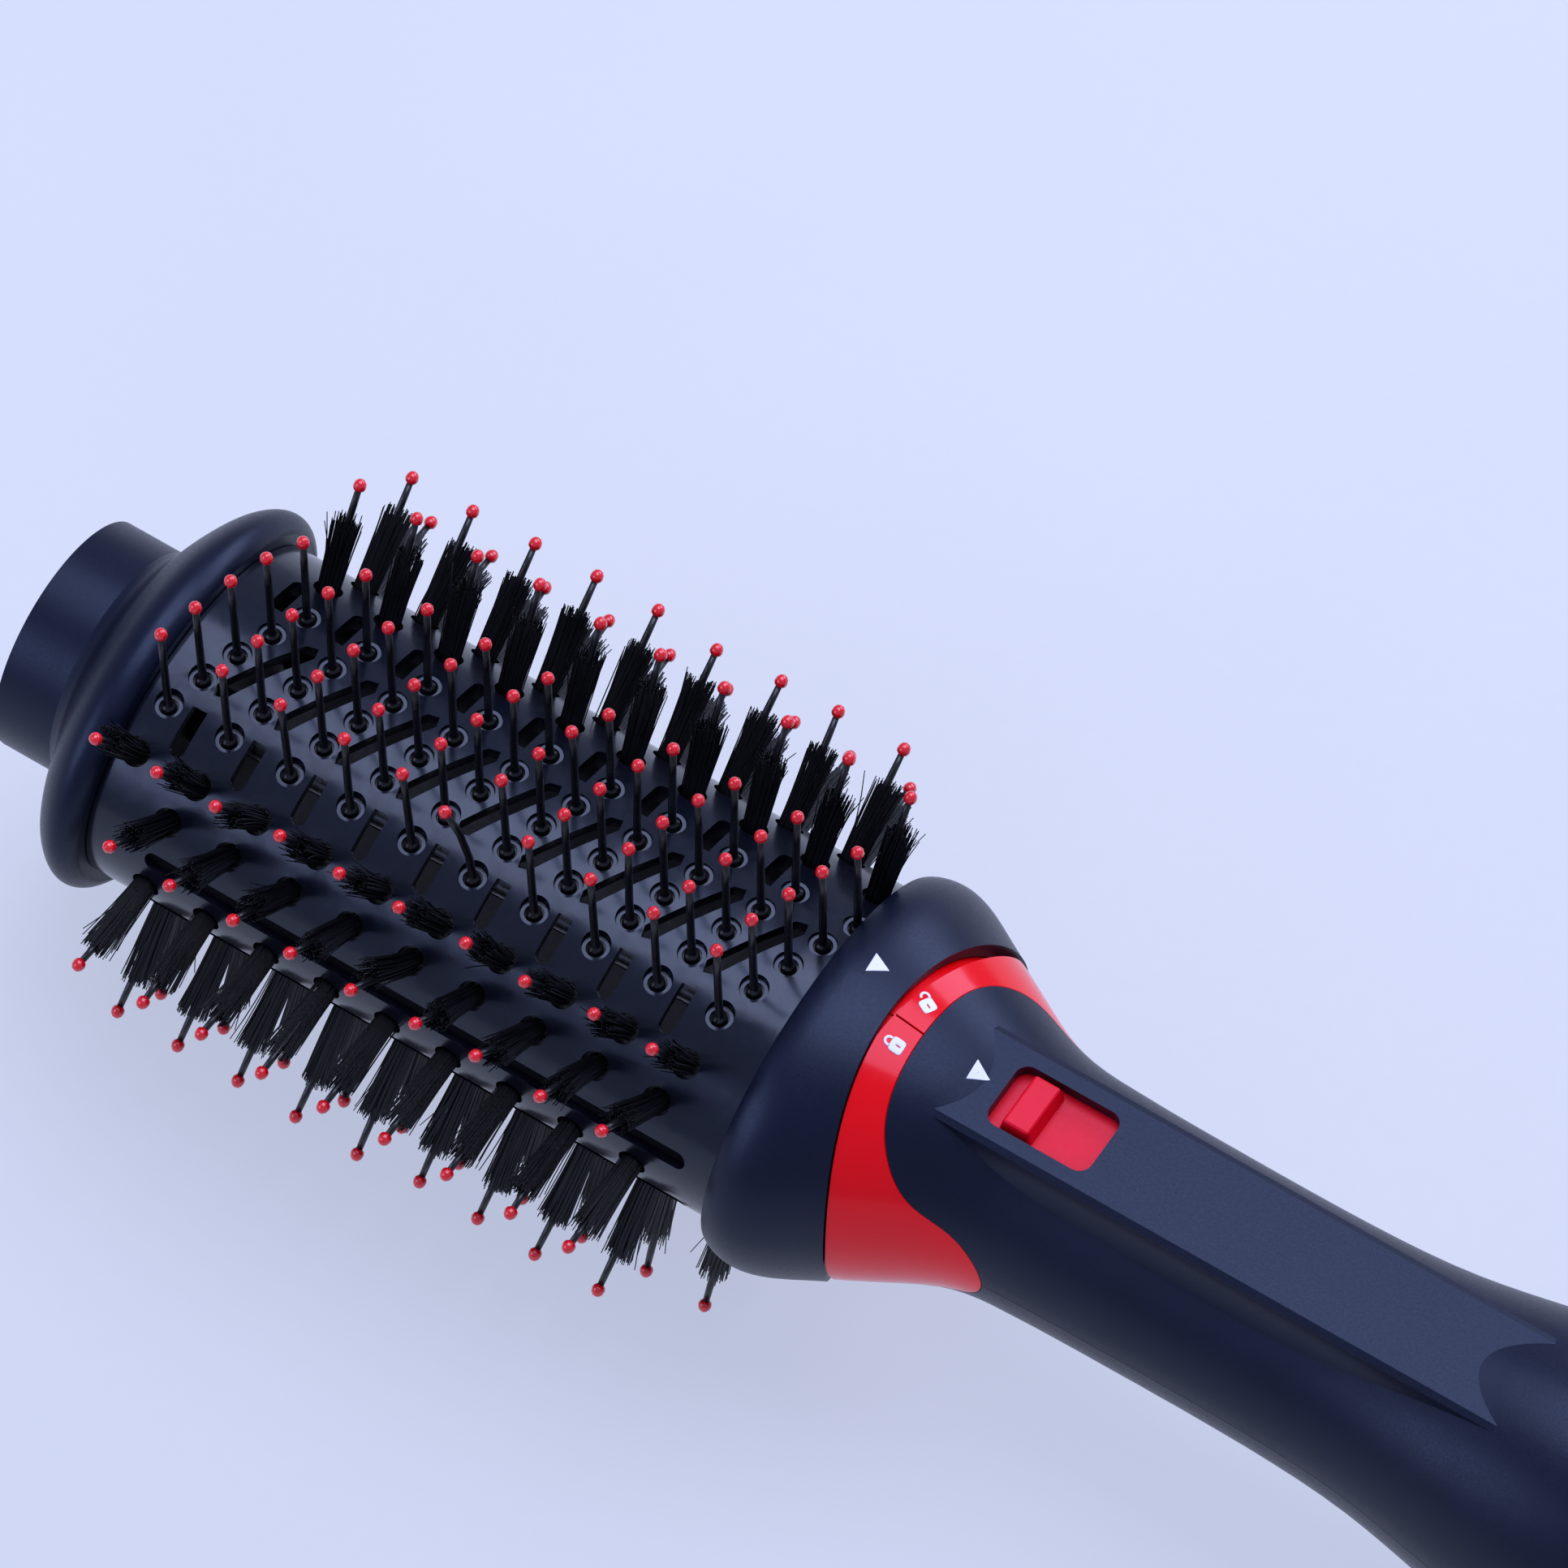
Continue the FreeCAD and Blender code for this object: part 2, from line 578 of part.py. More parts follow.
def collar(outer_skin):
    """Oval skirt over the handle's register, with the spigot and its three bayonet lugs."""
    skirt = common("collar_skirt", outer_skin, in_front_of_saddle("collar_space", "0"))
    mouth = oval_bar("collar_mouth", COLLAR_FRONT + " - 1", "Dims.barrel_tuck + 1",
                     "Dims.barrel_wide + Dims.fit_gap", "Dims.barrel_high + Dims.fit_gap")
    seat = cylinder("collar_seat", "Dims.seat_radius", "%s + 2.6" % BARREL_END, "30")
    airway = cylinder("collar_airway", "Dims.spigot_radius - Dims.spigot_wall", COLLAR_FRONT, "60")
    spigot = cut(
        "spigot",
        cylinder("spigot_bar", "Dims.spigot_radius", SPIGOT_START, "Dims.spigot_length - 1"),
        cylinder("spigot_bore", "Dims.spigot_radius - Dims.spigot_wall", SPIGOT_START + " - 1", "60"))
    lugs = []
    for index, centre in enumerate(LUG_CENTRES):
        sector = lug_sector("lug_sector_%d" % index, "Dims.spigot_radius + Dims.lug_height",
                            "%s - 4" % SPIGOT_END, "2.4", "%g - Dims.lug_angle / 2" % centre,
                            "Dims.lug_angle")
        core = cylinder("lug_core_%d" % index, "Dims.spigot_radius - Dims.spigot_wall / 2",
                        "%s - 5" % SPIGOT_END, "5")
        lugs.append(cut("lug_%d" % index, sector, core))
    body = cut("collar_body", skirt, mouth, seat, airway)
    fuse("collar", body, spigot, *lugs)


def duct_seal():
    """Silicone ring that turns with the spigot inside the bayonet socket."""
    start = "%s + Dims.run_gap" % SPIGOT_END
    outer = cylinder("seal_bar", "Dims.spigot_radius + 0.1", start, "2")
    inner = cylinder("seal_bore", "Dims.spigot_radius - Dims.spigot_wall", start + " - 1", "4")
    cut("duct_seal", outer, inner)


# ---------------------------------------------------------------- handle

def trim_region(name, gap):
    """Space that the trim ring takes: a side view with a rounded tail behind the seam."""
    front = num(COLLAR_FRONT)
    tail = [(17.9, 34.0), (18.1, 25.0), (22.6, 18.0), (29.0, 11.4), (37.0, 6.4)]
    tip = (40.6, 0.0)
    upper = [Vector(front + x + gap, 0, z) for x, z in tail]
    lower = [Vector(point.x, 0, -point.z) for point in reversed(upper)]
    curve = Part.BSplineCurve()
    curve.interpolate(upper + [Vector(front + tip[0] + gap, 0, tip[1])] + lower)
    top = Vector(front - 5, 0, upper[0].z)
    bottom = Vector(front - 5, 0, -upper[0].z)
    wire = Part.Wire([
        curve.toShape(), Part.makeLine(lower[-1], bottom), Part.makeLine(bottom, top),
        Part.makeLine(top, upper[0])])
    return feature(name, Part.Face(wire).extrude(Vector(0, 100, 0)), Placement(Vector(0, -50, 0), Rotation()))


def trim_ring(handle_skin, register_skin, handle_inside):
    """Red ring with its tails, the register under the collar's lip, and the scribed index line."""
    band = cut("trim_band", handle_skin, handle_inside)
    region = trim_region("trim_space", 0)
    visible = common("trim_visible", band, region)
    front = in_front_of_saddle("trim_front", "Dims.run_gap")
    swept = [front] + [
        turned_copy("trim_front_%d" % index, front, "Dims.twist_angle * %g" % (index / 4))
        for index in range(1, 5)]
    visible = cut("trim_cut", visible, *swept)
    register = cut(
        "register",
        cylinder("register_bar", "Dims.seat_radius - Dims.run_gap", "%s + 4" % BARREL_END, "16"),
        cylinder("register_bore", "Dims.seat_radius - Dims.run_gap - 2", BARREL_END, "30"))
    register = common("register_fit", register, register_skin, trim_region("trim_core", -0.6))
    line = mid_block("index_line", SADDLE, "Dims.seat_radius - 1.3", "12", "0.35", "5")
    cut("trim_ring", fuse("trim_whole", visible, register), line)


def bayonet_socket():
    """Socket with three entry channels and the pockets the lugs turn into."""
    start = "(%s + 4.6)" % BARREL_END
    floor = "(%s + 2.6 + Dims.run_gap)" % SPIGOT_END
    body = fuse(
        "socket_body",
        cylinder("socket_flange", "Dims.seat_radius - Dims.run_gap - 2 - Dims.fit_gap", start, "3"),
        cylinder("socket_tube", "Dims.spigot_radius + Dims.lug_height + 1.6", start,
                 "%s - %s" % (floor, start)))
    bore = cylinder("socket_bore", "Dims.spigot_radius + 0.4", start + " - 1", "40")
    openings = [bore]
    for index, centre in enumerate(LUG_CENTRES):
        entry_start = "%g - Dims.lug_angle / 2 - 1" % centre
        radius = "Dims.spigot_radius + Dims.lug_height + 0.4"
        openings.append(lug_sector("entry_%d" % index, radius, start + " - 1",
                                   "%s - 1.2 - %s + 1" % (SPIGOT_END, start), entry_start,
                                   "Dims.lug_angle + 2"))
        openings.append(lug_sector("pocket_%d" % index, radius, "%s - 4.4" % SPIGOT_END, "3.2",
                                   entry_start, "Dims.lug_angle + Dims.twist_angle + 2"))
    cut("bayonet_socket", body, *openings)


def outlet_grille():
    """Spoked guard between heater and head."""
    start = "%s + 2.6 + Dims.run_gap + Dims.fit_gap" % SPIGOT_END
    rim = cut("guard_rim", cylinder("guard_bar", "Dims.spigot_radius - 0.8", start, "1.6"),
              cylinder("guard_bore", "Dims.spigot_radius - 2.6", start + " - 1", "4"))
    hub = cylinder("guard_hub", "3.4", start, "1.6")
    spokes = []
    for index in range(3):
        bar = doc.addObject("Part::Box", "guard_spoke_%d" % index)
        turn = Rotation(X_AXIS, 60 * index)
        bar.Placement = Placement(turn.multVec(Vector(0, -17.2, -0.7)), turn)
        spokes.append(bind(bar, Length="1.6", Width="34.4", Height="1.4", x=start))
    middle = cut("guard_middle", cylinder("guard_middle_bar", "10.6", start, "1.6"),
                 cylinder("guard_middle_bore", "9.4", start + " - 1", "4"))
    fuse("outlet_grille", rim, hub, middle, *spokes)


def panel_prism():
    """Flat panel on the handle's top, its sides hollowed by flutes."""
    top, foot = dim("panel_wide"), dim("panel_foot")
    high, low = dim("panel_high"), 13.0
    start, length = num(COLLAR_FRONT) + 20, 104 * dim("handle_length") / SKIN_LENGTH
    hollow = Vector(0, top + 1.1, high - 4.6)
    edge = 0.5

    def side(sign):
        return Part.Arc(Vector(0, sign * (top + edge), high - edge), Vector(0, sign * hollow.y, hollow.z),
                        Vector(0, sign * foot, low)).toShape()

    corners = [Vector(0, -top - edge, high - edge), Vector(0, -top + edge, high),
               Vector(0, top - edge, high), Vector(0, top + edge, high - edge)]
    wire = Part.Wire(Part.__sortEdges__([
        side(-1), side(1), Part.makeLine(Vector(0, -foot, low), Vector(0, foot, low))]
        + [Part.makeLine(one, two) for one, two in zip(corners, corners[1:])]))
    prism = Part.Face(wire).extrude(Vector(length, 0, 0))
    return feature("panel_prism", prism, Placement(Vector(start, 0, 0), Rotation()))


def window_cutter():
    """Switch window with round corners."""
    body = mid_block("window_block", WINDOW, "Dims.panel_high - 6", "Dims.window_long", "Dims.window_wide",
                     "10")
    return rounded("window_cut", body, 2.2, is_upright)


def is_upright(edge):
    return abs(edge.tangentAt(edge.FirstParameter).z) > 0.99


def rounded(name, body, radius, chosen):
    """Body with the edges that a test chooses rounded."""
    doc.recompute()
    result = doc.addObject("Part::Fillet", name)
    result.Base = body
    result.Edges = [(index, radius, radius) for index, edge in enumerate(body.Shape.Edges, start=1)
                    if chosen(edge)]
    return result


BOSS_PLACES = (("Dims.handle_length * 0.645", 13.2), ("Dims.handle_length * 0.955", 16.0))


def handle_shells(handle_skin, wall_middle, handle_inside):
    """Upper and lower shells, parted on the middle plane and joined by four screws."""
    panel = panel_prism()
    outer = fuse("handle_outer", handle_skin, panel)
    beyond = trim_region("trim_room", dim("fit_gap"))
    pocket = mid_block("skirt_pocket", "%s - Dims.slide_travel - 2" % WINDOW,
                       "0", "Dims.window_long + 2 * Dims.slide_travel + 4", "15.6",
                       "Dims.panel_high - Dims.skirt_depth + 0.2")
    register_room = cylinder("register_room", "Dims.seat_radius - Dims.run_gap + Dims.fit_gap",
                             BARREL_END, "20")
    front_room = common("register_space", register_room, beyond)
    wall = cut("handle_wall", outer, handle_inside, beyond, window_cutter(), pocket, front_room)
    bosses, holes, heads = [], [], []
    screws = []
    for index, (x, y) in enumerate(BOSS_PLACES):
        for side, sign in (("near", -1), ("far", 1)):
            tag = "%d_%s" % (index, side)
            spot = dict(x="%s + %s" % (COLLAR_FRONT, x), y=str(sign * y))
            bosses.append(upright("boss_" + tag, "3.2", z="-30", height="60", **spot))
            holes.append(upright("boss_hole_" + tag, "1.45", z="-40", height="48", **spot))
            heads.append(upright("boss_sink_" + tag, "2.9", z="-40", height="28.5", **spot))
            screws.append(fuse(
                "shell_screw_" + tag,
                upright("screw_shank_" + tag, "1.4", z="-11.6", height="18.6", **spot),
                upright("screw_head_" + tag, "2.6", z="-13.6", height="2", **spot)))
    inner_bosses = common("inner_bosses", fuse("boss_posts", *bosses), wall_middle)
    solid = fuse("handle_with_bosses", wall, inner_bosses)
    for name, low in (("upper", "Dims.fit_gap / 3"), ("lower", "-Dims.fit_gap / 3 - 50")):
        half = mid_block("shell_half_" + name, COLLAR_FRONT, low, "Dims.handle_length", "90", "50")
        piece = common("shell_blank_" + name, solid, half)
        tools = holes if name == "upper" else holes + heads
        cut(name + "_shell", piece, *tools)
    group("shell_screws", *screws)


def slider():
    """Switch slider: skirt under the window, raised knob and the fork below."""
    face = "Dims.panel_high - Dims.skirt_depth"
    knob_start = "(%s + Dims.knob_x)" % WINDOW
    skirt = mid_block("slider_skirt", "%s - Dims.slide_travel - 1" % WINDOW,
                      "%s - Dims.skirt_thick" % face,
                      "Dims.window_long + Dims.slide_travel + 2", "14", "Dims.skirt_thick")
    knob = doc.addObject("Part::Wedge", "slider_knob")
    knob.Placement = Placement(Vector(), Rotation(X_AXIS, 90))
    bind(knob, Xmin="0", Xmax="Dims.knob_long + 1.2", X2min="0.6", X2max="Dims.knob_long + 0.6",
         Zmin="-5", Zmax="5", Z2min="-4.6", Z2max="4.6", Ymin="0", Ymax="Dims.skirt_depth + 0.6")
    bind(knob, x="%s - 0.6" % knob_start, z=face)
    foot = num(face) + 0.1
    soft_knob = rounded("slider_soft_knob", knob, 0.55, lambda edge: edge.CenterOfMass.z > foot)
    stem = mid_block("slider_stem", knob_start + " + 1", "%s - Dims.skirt_thick - 5" % face, "3", "3", "6")
    fuse("slider", skirt, soft_knob, stem)


def switch_body():
    """Switch under the slider, with the slot its stem runs in."""
    top = "Dims.panel_high - Dims.skirt_depth - Dims.skirt_thick - 0.8"
    start = "%s + Dims.knob_x - 3" % WINDOW
    housing = mid_block("switch_block", start, "%s - 7" % top, "Dims.slide_travel + 12", "11", "7")
    slot = mid_block("switch_slot", start + " + 3", "%s - 5" % top, "Dims.slide_travel + 5", "3.8", "6")
    cut("switch_body", housing, slot)


def heater():
    """Mica sleeve with a crossed mica frame, resistance wire, thermostat and thermal fuse."""
    cut("heater_sleeve",
        cylinder("sleeve_bar", "Dims.sleeve_radius", HEATER, "Dims.heater_length"),
        cylinder("sleeve_bore", "Dims.sleeve_radius - 0.6", HEATER + " - 1", "Dims.heater_length + 2"))
    reach = "2 * (Dims.sleeve_radius - 1)"
    length = "Dims.heater_length - 4"
    flat = mid_block("mica_flat", HEATER + " + 2", "-0.4", length, reach, "0.8")
    tall = mid_block("mica_tall", HEATER + " + 2", "-(%s) / 2" % reach, length, "0.8", reach)
    turns, notches = [], []
    for index in range(9):
        place_x = "%s + 6 + %g * Dims.heater_length" % (HEATER, index * 0.095)
        for kind, thickness, store in (("wire", "0.5", turns), ("notch", "0.6", notches)):
            ring = doc.addObject("Part::Torus", "%s_%d" % (kind, index))
            ring.Placement = Placement(Vector(), ALONG_X)
            store.append(bind(ring, Radius1="Dims.sleeve_radius - 3.4", Radius2=thickness, x=place_x))
    group("heater_coil", *turns)
    cut("heater_frame", fuse("mica_cross", flat, tall), *notches)
    cylinder("thermostat", "4.4", "%s + Dims.heater_length - 1.6" % HEATER, "4")
    cylinder("thermal_fuse", "1.3", "%s + 14" % HEATER, "11", y="5", z="-5")


def fan():
    """Fan duct with straightening vanes, rotor on its shaft, motor and its bracket."""
    duct = cut("duct_tube", cylinder("duct_bar", "Dims.fan_radius + 1.5", FAN_FRONT, "24"),
               cylinder("duct_bore", "Dims.fan_radius + 0.6", FAN_FRONT + " - 1", "26"))
    vanes = [radial_plate("vane_%d" % index, FAN_FRONT, "8", "5", "Dims.fan_radius + 1", 1.0,
                          360 / 7 * index, 0) for index in range(7)]
    nose = cylinder("duct_nose", "6", FAN_FRONT, "8")
    fuse("fan_duct", duct, nose, *vanes)

    rotor_start = "(%s + 10)" % FAN_FRONT
    hub = cylinder("rotor_hub", "6.5", rotor_start, "9")
    blades = [radial_plate("blade_%d" % index, rotor_start + " + 0.8", "7.4", "6", "Dims.fan_radius", 1.2,
                           40 * index, 32) for index in range(9)]
    shaft_hole = cylinder("rotor_bore", "Dims.shaft_radius", rotor_start + " - 1", "12")
    cut("fan_rotor", fuse("rotor_body", hub, *blades), shaft_hole)
    cylinder("fan_shaft", "Dims.shaft_radius", rotor_start + " + 0.5", "%s + 6 - %s" % (MOTOR, rotor_start))

    can = cylinder("motor_can", "Dims.motor_radius", MOTOR, "Dims.motor_length")
    nose = cylinder("motor_boss", "3.5", "%s - 2" % MOTOR, "2.5")
    bore = cylinder("motor_bore", "Dims.shaft_radius + 0.06", "%s - 3" % MOTOR, "11")
    cut("motor", fuse("motor_body", can, nose), bore)

    ring = cut("bracket_ring", cylinder("bracket_bar", "Dims.fan_radius + 1.5", MOTOR + " - 1.6", "8"),
               cylinder("bracket_bore", "Dims.fan_radius", MOTOR + " - 2", "10"))
    cup = cut("bracket_cup",
              cylinder("bracket_cup_bar", "Dims.motor_radius + 1.4", MOTOR + " - 1.6", "8"),
              cylinder("bracket_cup_bore", "Dims.motor_radius + 0.05", MOTOR, "10"),
              cylinder("bracket_nose_bore", "3.6", MOTOR + " - 3", "10"))
    arms = [radial_plate("bracket_arm_%d" % index, MOTOR + " - 1.6", "8", "Dims.motor_radius + 1",
                         "Dims.fan_radius + 0.5", 2.0, 120 * index + 90, 0) for index in range(3)]
    fuse("motor_bracket", ring, cup, *arms)


def radial_plate(name, start, length, inner, outer, thickness, angle, pitch):
    """Plate standing radially from inner to outer radius, pitched about its own radius."""
    span = num("%s - %s" % (outer, inner))
    plate = Part.makeBox(num(length), thickness, span,
                         Vector(-num(length) / 2, -thickness / 2, num(inner)))
    plate.rotate(Vector(), Z_AXIS, pitch)
    plate.rotate(Vector(), X_AXIS, angle)
    plate.translate(Vector(num("%s + (%s) / 2" % (start, length)), 0, 0))
    return feature(name, plate)


def control_board():
    """Small circuit board with its parts, under the motor."""
    under = "-Dims.motor_radius - 6"
    board = mid_block("board_plate", MOTOR + " + 8", under, "22", "20", "1.6")
    parts = [block("board_part_%d" % index, "%s + %g" % (MOTOR, 10 + 4.8 * index), str(y), under + " + 1.5",
                   "3.6", "4.6", "2.4") for index, y in enumerate((-7.5, 1.5, -5.5, 3))]
    fuse("control_board", board, *parts)


REAR_STATIONS = ((0.2, 25.75, 25.75), (6.0, 25.1, 25.1), (12.0, 23.6, 23.6), (18.0, 21.2, 21.2))
CAP_STATIONS = ((0.15, 21.15, 21.15), (2.5, 20.2, 20.2), (5.5, 17.6, 17.6), (8.0, 13.6, 13.6))


def rear_end():
    """Slotted air inlet, its mesh filter, and the cap that holds the swivelling gland."""
    outer = loft("grille_outer", REAR_STATIONS, SHELL_END)
    inner = loft("grille_inner", REAR_STATIONS, SHELL_END, "1.8")
    slots = [radial_plate("inlet_slot_%d" % index, SHELL_END + " + 3.4", "Dims.grille_length - 6.4", "16",
                          "30", 2.0, 10 * index, 0) for index in range(36)]
    cut("inlet_grille", outer, inner, *slots)
    cut("inlet_filter",
        cylinder("filter_bar", "18.8", SHELL_END + " + 1.4", "Dims.grille_length - 2.2"),
        cylinder("filter_bore", "17.8", SHELL_END, "40"))
    dome = loft("cap_dome", CAP_STATIONS, GRILLE_END)
    throat = cylinder("cap_throat", "Dims.gland_radius + Dims.run_gap", GRILLE_END + " - 1", "20")
    room = cylinder("cap_room", "Dims.gland_radius + 2.6", GRILLE_END + " - 1", "4.2")
    cut("rear_cap", dome, throat, room)


def cord_gland():
    """Swivelling gland, kept by its flange inside the cap, with the cord's bore."""
    flange = cylinder("gland_flange", "Dims.gland_radius + 2.2", "%s + 0.3" % GRILLE_END, "2.4")
    barrel_part = cylinder("gland_barrel", "Dims.gland_radius", "%s + 0.3" % GRILLE_END,
                           "Dims.cap_length + 1.2")
    nose = cone("gland_nose", "Dims.gland_radius", "Dims.gland_radius - 1.8", "%s + 1.5" % CAP_END,
                "Dims.gland_length - 1.5")
    bore = cylinder("gland_bore", "Dims.cord_radius", GRILLE_END + " - 1", "60")
    cut("cord_gland", fuse("gland_body", flange, barrel_part, nose), bore)


NODES = (
    "cool_tip", "tip_cap", "tip_screw", "front_bulkhead", "rear_bulkhead", "tie_rod", "barrel_shell",
    "bristle_frame_upper", "bristle_frame_lower", "pins_upper", "pins_lower", "pin_balls_upper",
    "pin_balls_lower", "tufts_near", "tufts_far", "tuft_pins_near", "tuft_pins_far", "tuft_balls_near",
    "tuft_balls_far", "collar", "duct_seal", "trim_ring", "bayonet_socket", "outlet_grille",
    "upper_shell", "lower_shell", "shell_screws", "slider", "switch_body", "heater_sleeve",
    "heater_frame", "heater_coil", "thermostat", "thermal_fuse", "fan_duct", "fan_rotor", "fan_shaft",
    "motor", "motor_bracket", "control_board", "inlet_grille", "inlet_filter", "rear_cap", "cord_gland")


def check_document():
    """Every object recomputed, every sub-part a valid solid."""
    failed = [thing.Name for thing in doc.Objects if "Invalid" in thing.State or "Error" in thing.State]
    for name in NODES:
        shape = doc.getObject(name).Shape
        if shape.isNull() or not shape.isValid() or not shape.Solids:
            failed.append(name)
    if failed:
        raise RuntimeError("failed: " + ", ".join(failed))


def write_parts():
    os.makedirs("parts", exist_ok=True)
    for name in NODES:
        thing = doc.getObject(name)
        thing.Label = name
        thing.Shape.exportStep("parts/%s.step" % name)


def build():
    outer_skin = skin("outer_skin", "0")
    handle_skin = skin("handle_skin", "Dims.ring_step")
    register_skin = skin("register_skin", "Dims.ring_step + 0.45")
    wall_middle = skin("wall_middle", "Dims.ring_step + Dims.shell_wall / 2")
    handle_inside = skin("handle_inside", "Dims.ring_step + Dims.shell_wall")
    cool_tip()
    barrel()
    bristles()
    collar(outer_skin)
    duct_seal()
    trim_ring(handle_skin, register_skin, handle_inside)
    bayonet_socket()
    outlet_grille()
    handle_shells(handle_skin, wall_middle, handle_inside)
    slider()
    switch_body()
    heater()
    fan()
    control_board()
    rear_end()
    cord_gland()
    doc.recompute()
    check_document()
    write_parts()


build()
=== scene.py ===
"""Looks of a hot-air styling brush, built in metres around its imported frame.

Axes: +X from the tip to the cord, +Z out of the brush's flat face, +Y to the far side.
"""

import json
import math

import bpy
import numpy as np
from bpy.props import FloatProperty, FloatVectorProperty, IntProperty, PointerProperty
from mathutils import Matrix, Vector


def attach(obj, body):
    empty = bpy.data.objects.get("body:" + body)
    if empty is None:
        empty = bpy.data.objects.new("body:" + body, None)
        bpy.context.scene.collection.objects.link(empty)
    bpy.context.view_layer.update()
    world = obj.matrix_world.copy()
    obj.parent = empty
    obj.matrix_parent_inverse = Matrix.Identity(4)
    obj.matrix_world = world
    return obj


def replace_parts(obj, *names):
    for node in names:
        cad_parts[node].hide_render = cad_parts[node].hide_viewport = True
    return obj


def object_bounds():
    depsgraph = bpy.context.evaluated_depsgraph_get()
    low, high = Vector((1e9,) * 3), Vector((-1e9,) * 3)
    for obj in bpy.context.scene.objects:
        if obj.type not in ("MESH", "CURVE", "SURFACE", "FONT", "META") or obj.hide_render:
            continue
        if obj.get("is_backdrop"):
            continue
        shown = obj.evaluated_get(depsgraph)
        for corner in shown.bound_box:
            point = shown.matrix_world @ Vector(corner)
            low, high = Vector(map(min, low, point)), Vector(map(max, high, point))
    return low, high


bl_info = {
    "name": "Hot-air styling brush",
    "version": (1, 0, 0),
    "blender": (4, 5, 0),
    "location": "View3D > Sidebar > Styling brush",
    "description": "Bristles, printed marks, finishes and stage of a hot-air styling brush",
    "category": "Object",
}

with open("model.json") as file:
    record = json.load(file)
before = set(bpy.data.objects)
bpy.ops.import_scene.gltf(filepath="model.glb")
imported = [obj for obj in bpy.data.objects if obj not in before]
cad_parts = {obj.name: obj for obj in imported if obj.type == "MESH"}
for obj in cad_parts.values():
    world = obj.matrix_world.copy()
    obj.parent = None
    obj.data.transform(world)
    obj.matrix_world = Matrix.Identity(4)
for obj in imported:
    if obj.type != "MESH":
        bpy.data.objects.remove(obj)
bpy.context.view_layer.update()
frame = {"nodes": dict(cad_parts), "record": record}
MM = 0.001

# ---------------------------------------------------------------- sizes shared with the part

TIP_LENGTH = 24.2
BARREL_WIDE, BARREL_HIGH = 30.0, 23.5
TUFT_PITCH = 11.0
PIN_ROWS = np.array((-2, -1, 0, 1, 2))
PINS_IN_ROW = 10
PINS_START, ROW_SHIFT, ROW_PITCH, ROW_FAN = 8.5, 2.2, 6.0, 0.8
PIN_STAND = 20.6
PIN_RADIUS, HUB_RADIUS, BALL_RADIUS = 0.65, 1.2, 1.05
TUFT_LENGTH, TUFT_ROOT, TUFT_END = 13.6, 1.85, 2.7
# Tuft rows of one side: angle of the root and of the lean above the middle plane, start from the
# barrel's front on the near and on the far side, number of tufts, height of the bead.
TUFT_ROWS = (
    (42, 63, 3.2, 11.4, 10, 19.6),
    (27, 42, 12.4, 14.2, 9, 18.9),
    (0, 0, 11.0, 11.0, 9, 16.7),
    (-27, -42, 10.8, 11.0, 9, 18.9),
    (-42, -63, 11.4, 3.2, 10, 19.6),
)
NEAR, FAR = -1, 1
UPPER, LOWER = 1, -1
# Dark sheet inside the barrel: painted shade, seen as darkness through the slots of the hollow barrel.
SHADE_SHEET_ENDS = (TIP_LENGTH + 10.0, TIP_LENGTH + 111.0)
SHADE_SHEET_REACH = (3.2, 25.5)  # clear of the tie rod and of the tufts' roots
SHADE_SHEET_THICK = 1.0
TABLE_HALF, TABLE_GAP = 2.5, 0.0002  # metres


# ---------------------------------------------------------------- mesh helpers

def grid_faces(rows, columns, closed):
    """Quads of a grid of points: (i, j), (i, j+1), (i+1, j+1), (i+1, j); closed joins the columns."""
    across = columns if closed else columns - 1
    i, j = np.meshgrid(np.arange(rows - 1), np.arange(across), indexing="ij")
    after = (j + 1) % columns
    return np.stack(
        [i * columns + j, i * columns + after, (i + 1) * columns + after, (i + 1) * columns + j],
        axis=-1).reshape(-1, 4)


def new_piece(name, points, faces, finish, body, smooth=True):
    """A mesh object in metres that takes a finish and rides on a body."""
    mesh = bpy.data.meshes.new(name)
    mesh.from_pydata(np.reshape(points, (-1, 3)) * MM, [], faces)
    mesh.polygons.foreach_set("use_smooth", np.full(len(mesh.polygons), smooth))
    mesh.materials.append(finish)
    piece = bpy.data.objects.new(name, mesh)
    bpy.context.scene.collection.objects.link(piece)
    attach(piece, body)
    return piece


def rods(lines, radii, across, sides):
    """Many thin solids at once: point = line(u) + radius(u) (cos v A + sin v B).

    lines is (rods, rings, 3), radii (rods, rings) and across the two unit vectors A and B of each
    rod, (rods, 2, 3). Both ends are closed by one face each.
    """
    count, rings, _ = lines.shape
    turn = np.arange(sides) * 2 * math.pi / sides
    rims = np.stack([np.cos(turn), np.sin(turn)], axis=-1) @ across
    points = lines[:, :, None] + radii[:, :, None, None] * rims[:, None]
    first = np.arange(count)[:, None, None] * rings * sides
    walls = (first + grid_faces(rings, sides, True)[None]).reshape(-1, 4)
    ring = np.arange(sides)
    caps = np.concatenate([first[:, 0] + ring[::-1], first[:, 0] + (rings - 1) * sides + ring])
    return points, walls.tolist() + caps.tolist()


def side_vectors(directions):
    """Two unit vectors across each direction, the first of them nearest to +X, so that A x B = D."""
    along_x = np.array((1.0, 0.0, 0.0))
    first = along_x - directions * (directions @ along_x)[:, None]
    first /= np.linalg.norm(first, axis=1)[:, None]
    return np.stack([first, np.cross(directions, first)], axis=1)


# ---------------------------------------------------------------- where the bristles stand

def oval_point(x, degrees_up, side):
    """Point of the oval barrel in a direction: radius = 1 / |(cos a / wide, sin a / high)|."""
    angle = np.radians(degrees_up)
    reach = 1 / np.hypot(np.cos(angle) / BARREL_WIDE, np.sin(angle) / BARREL_HIGH)
    return np.stack(np.broadcast_arrays(x, side * reach * np.cos(angle), reach * np.sin(angle)), axis=-1)


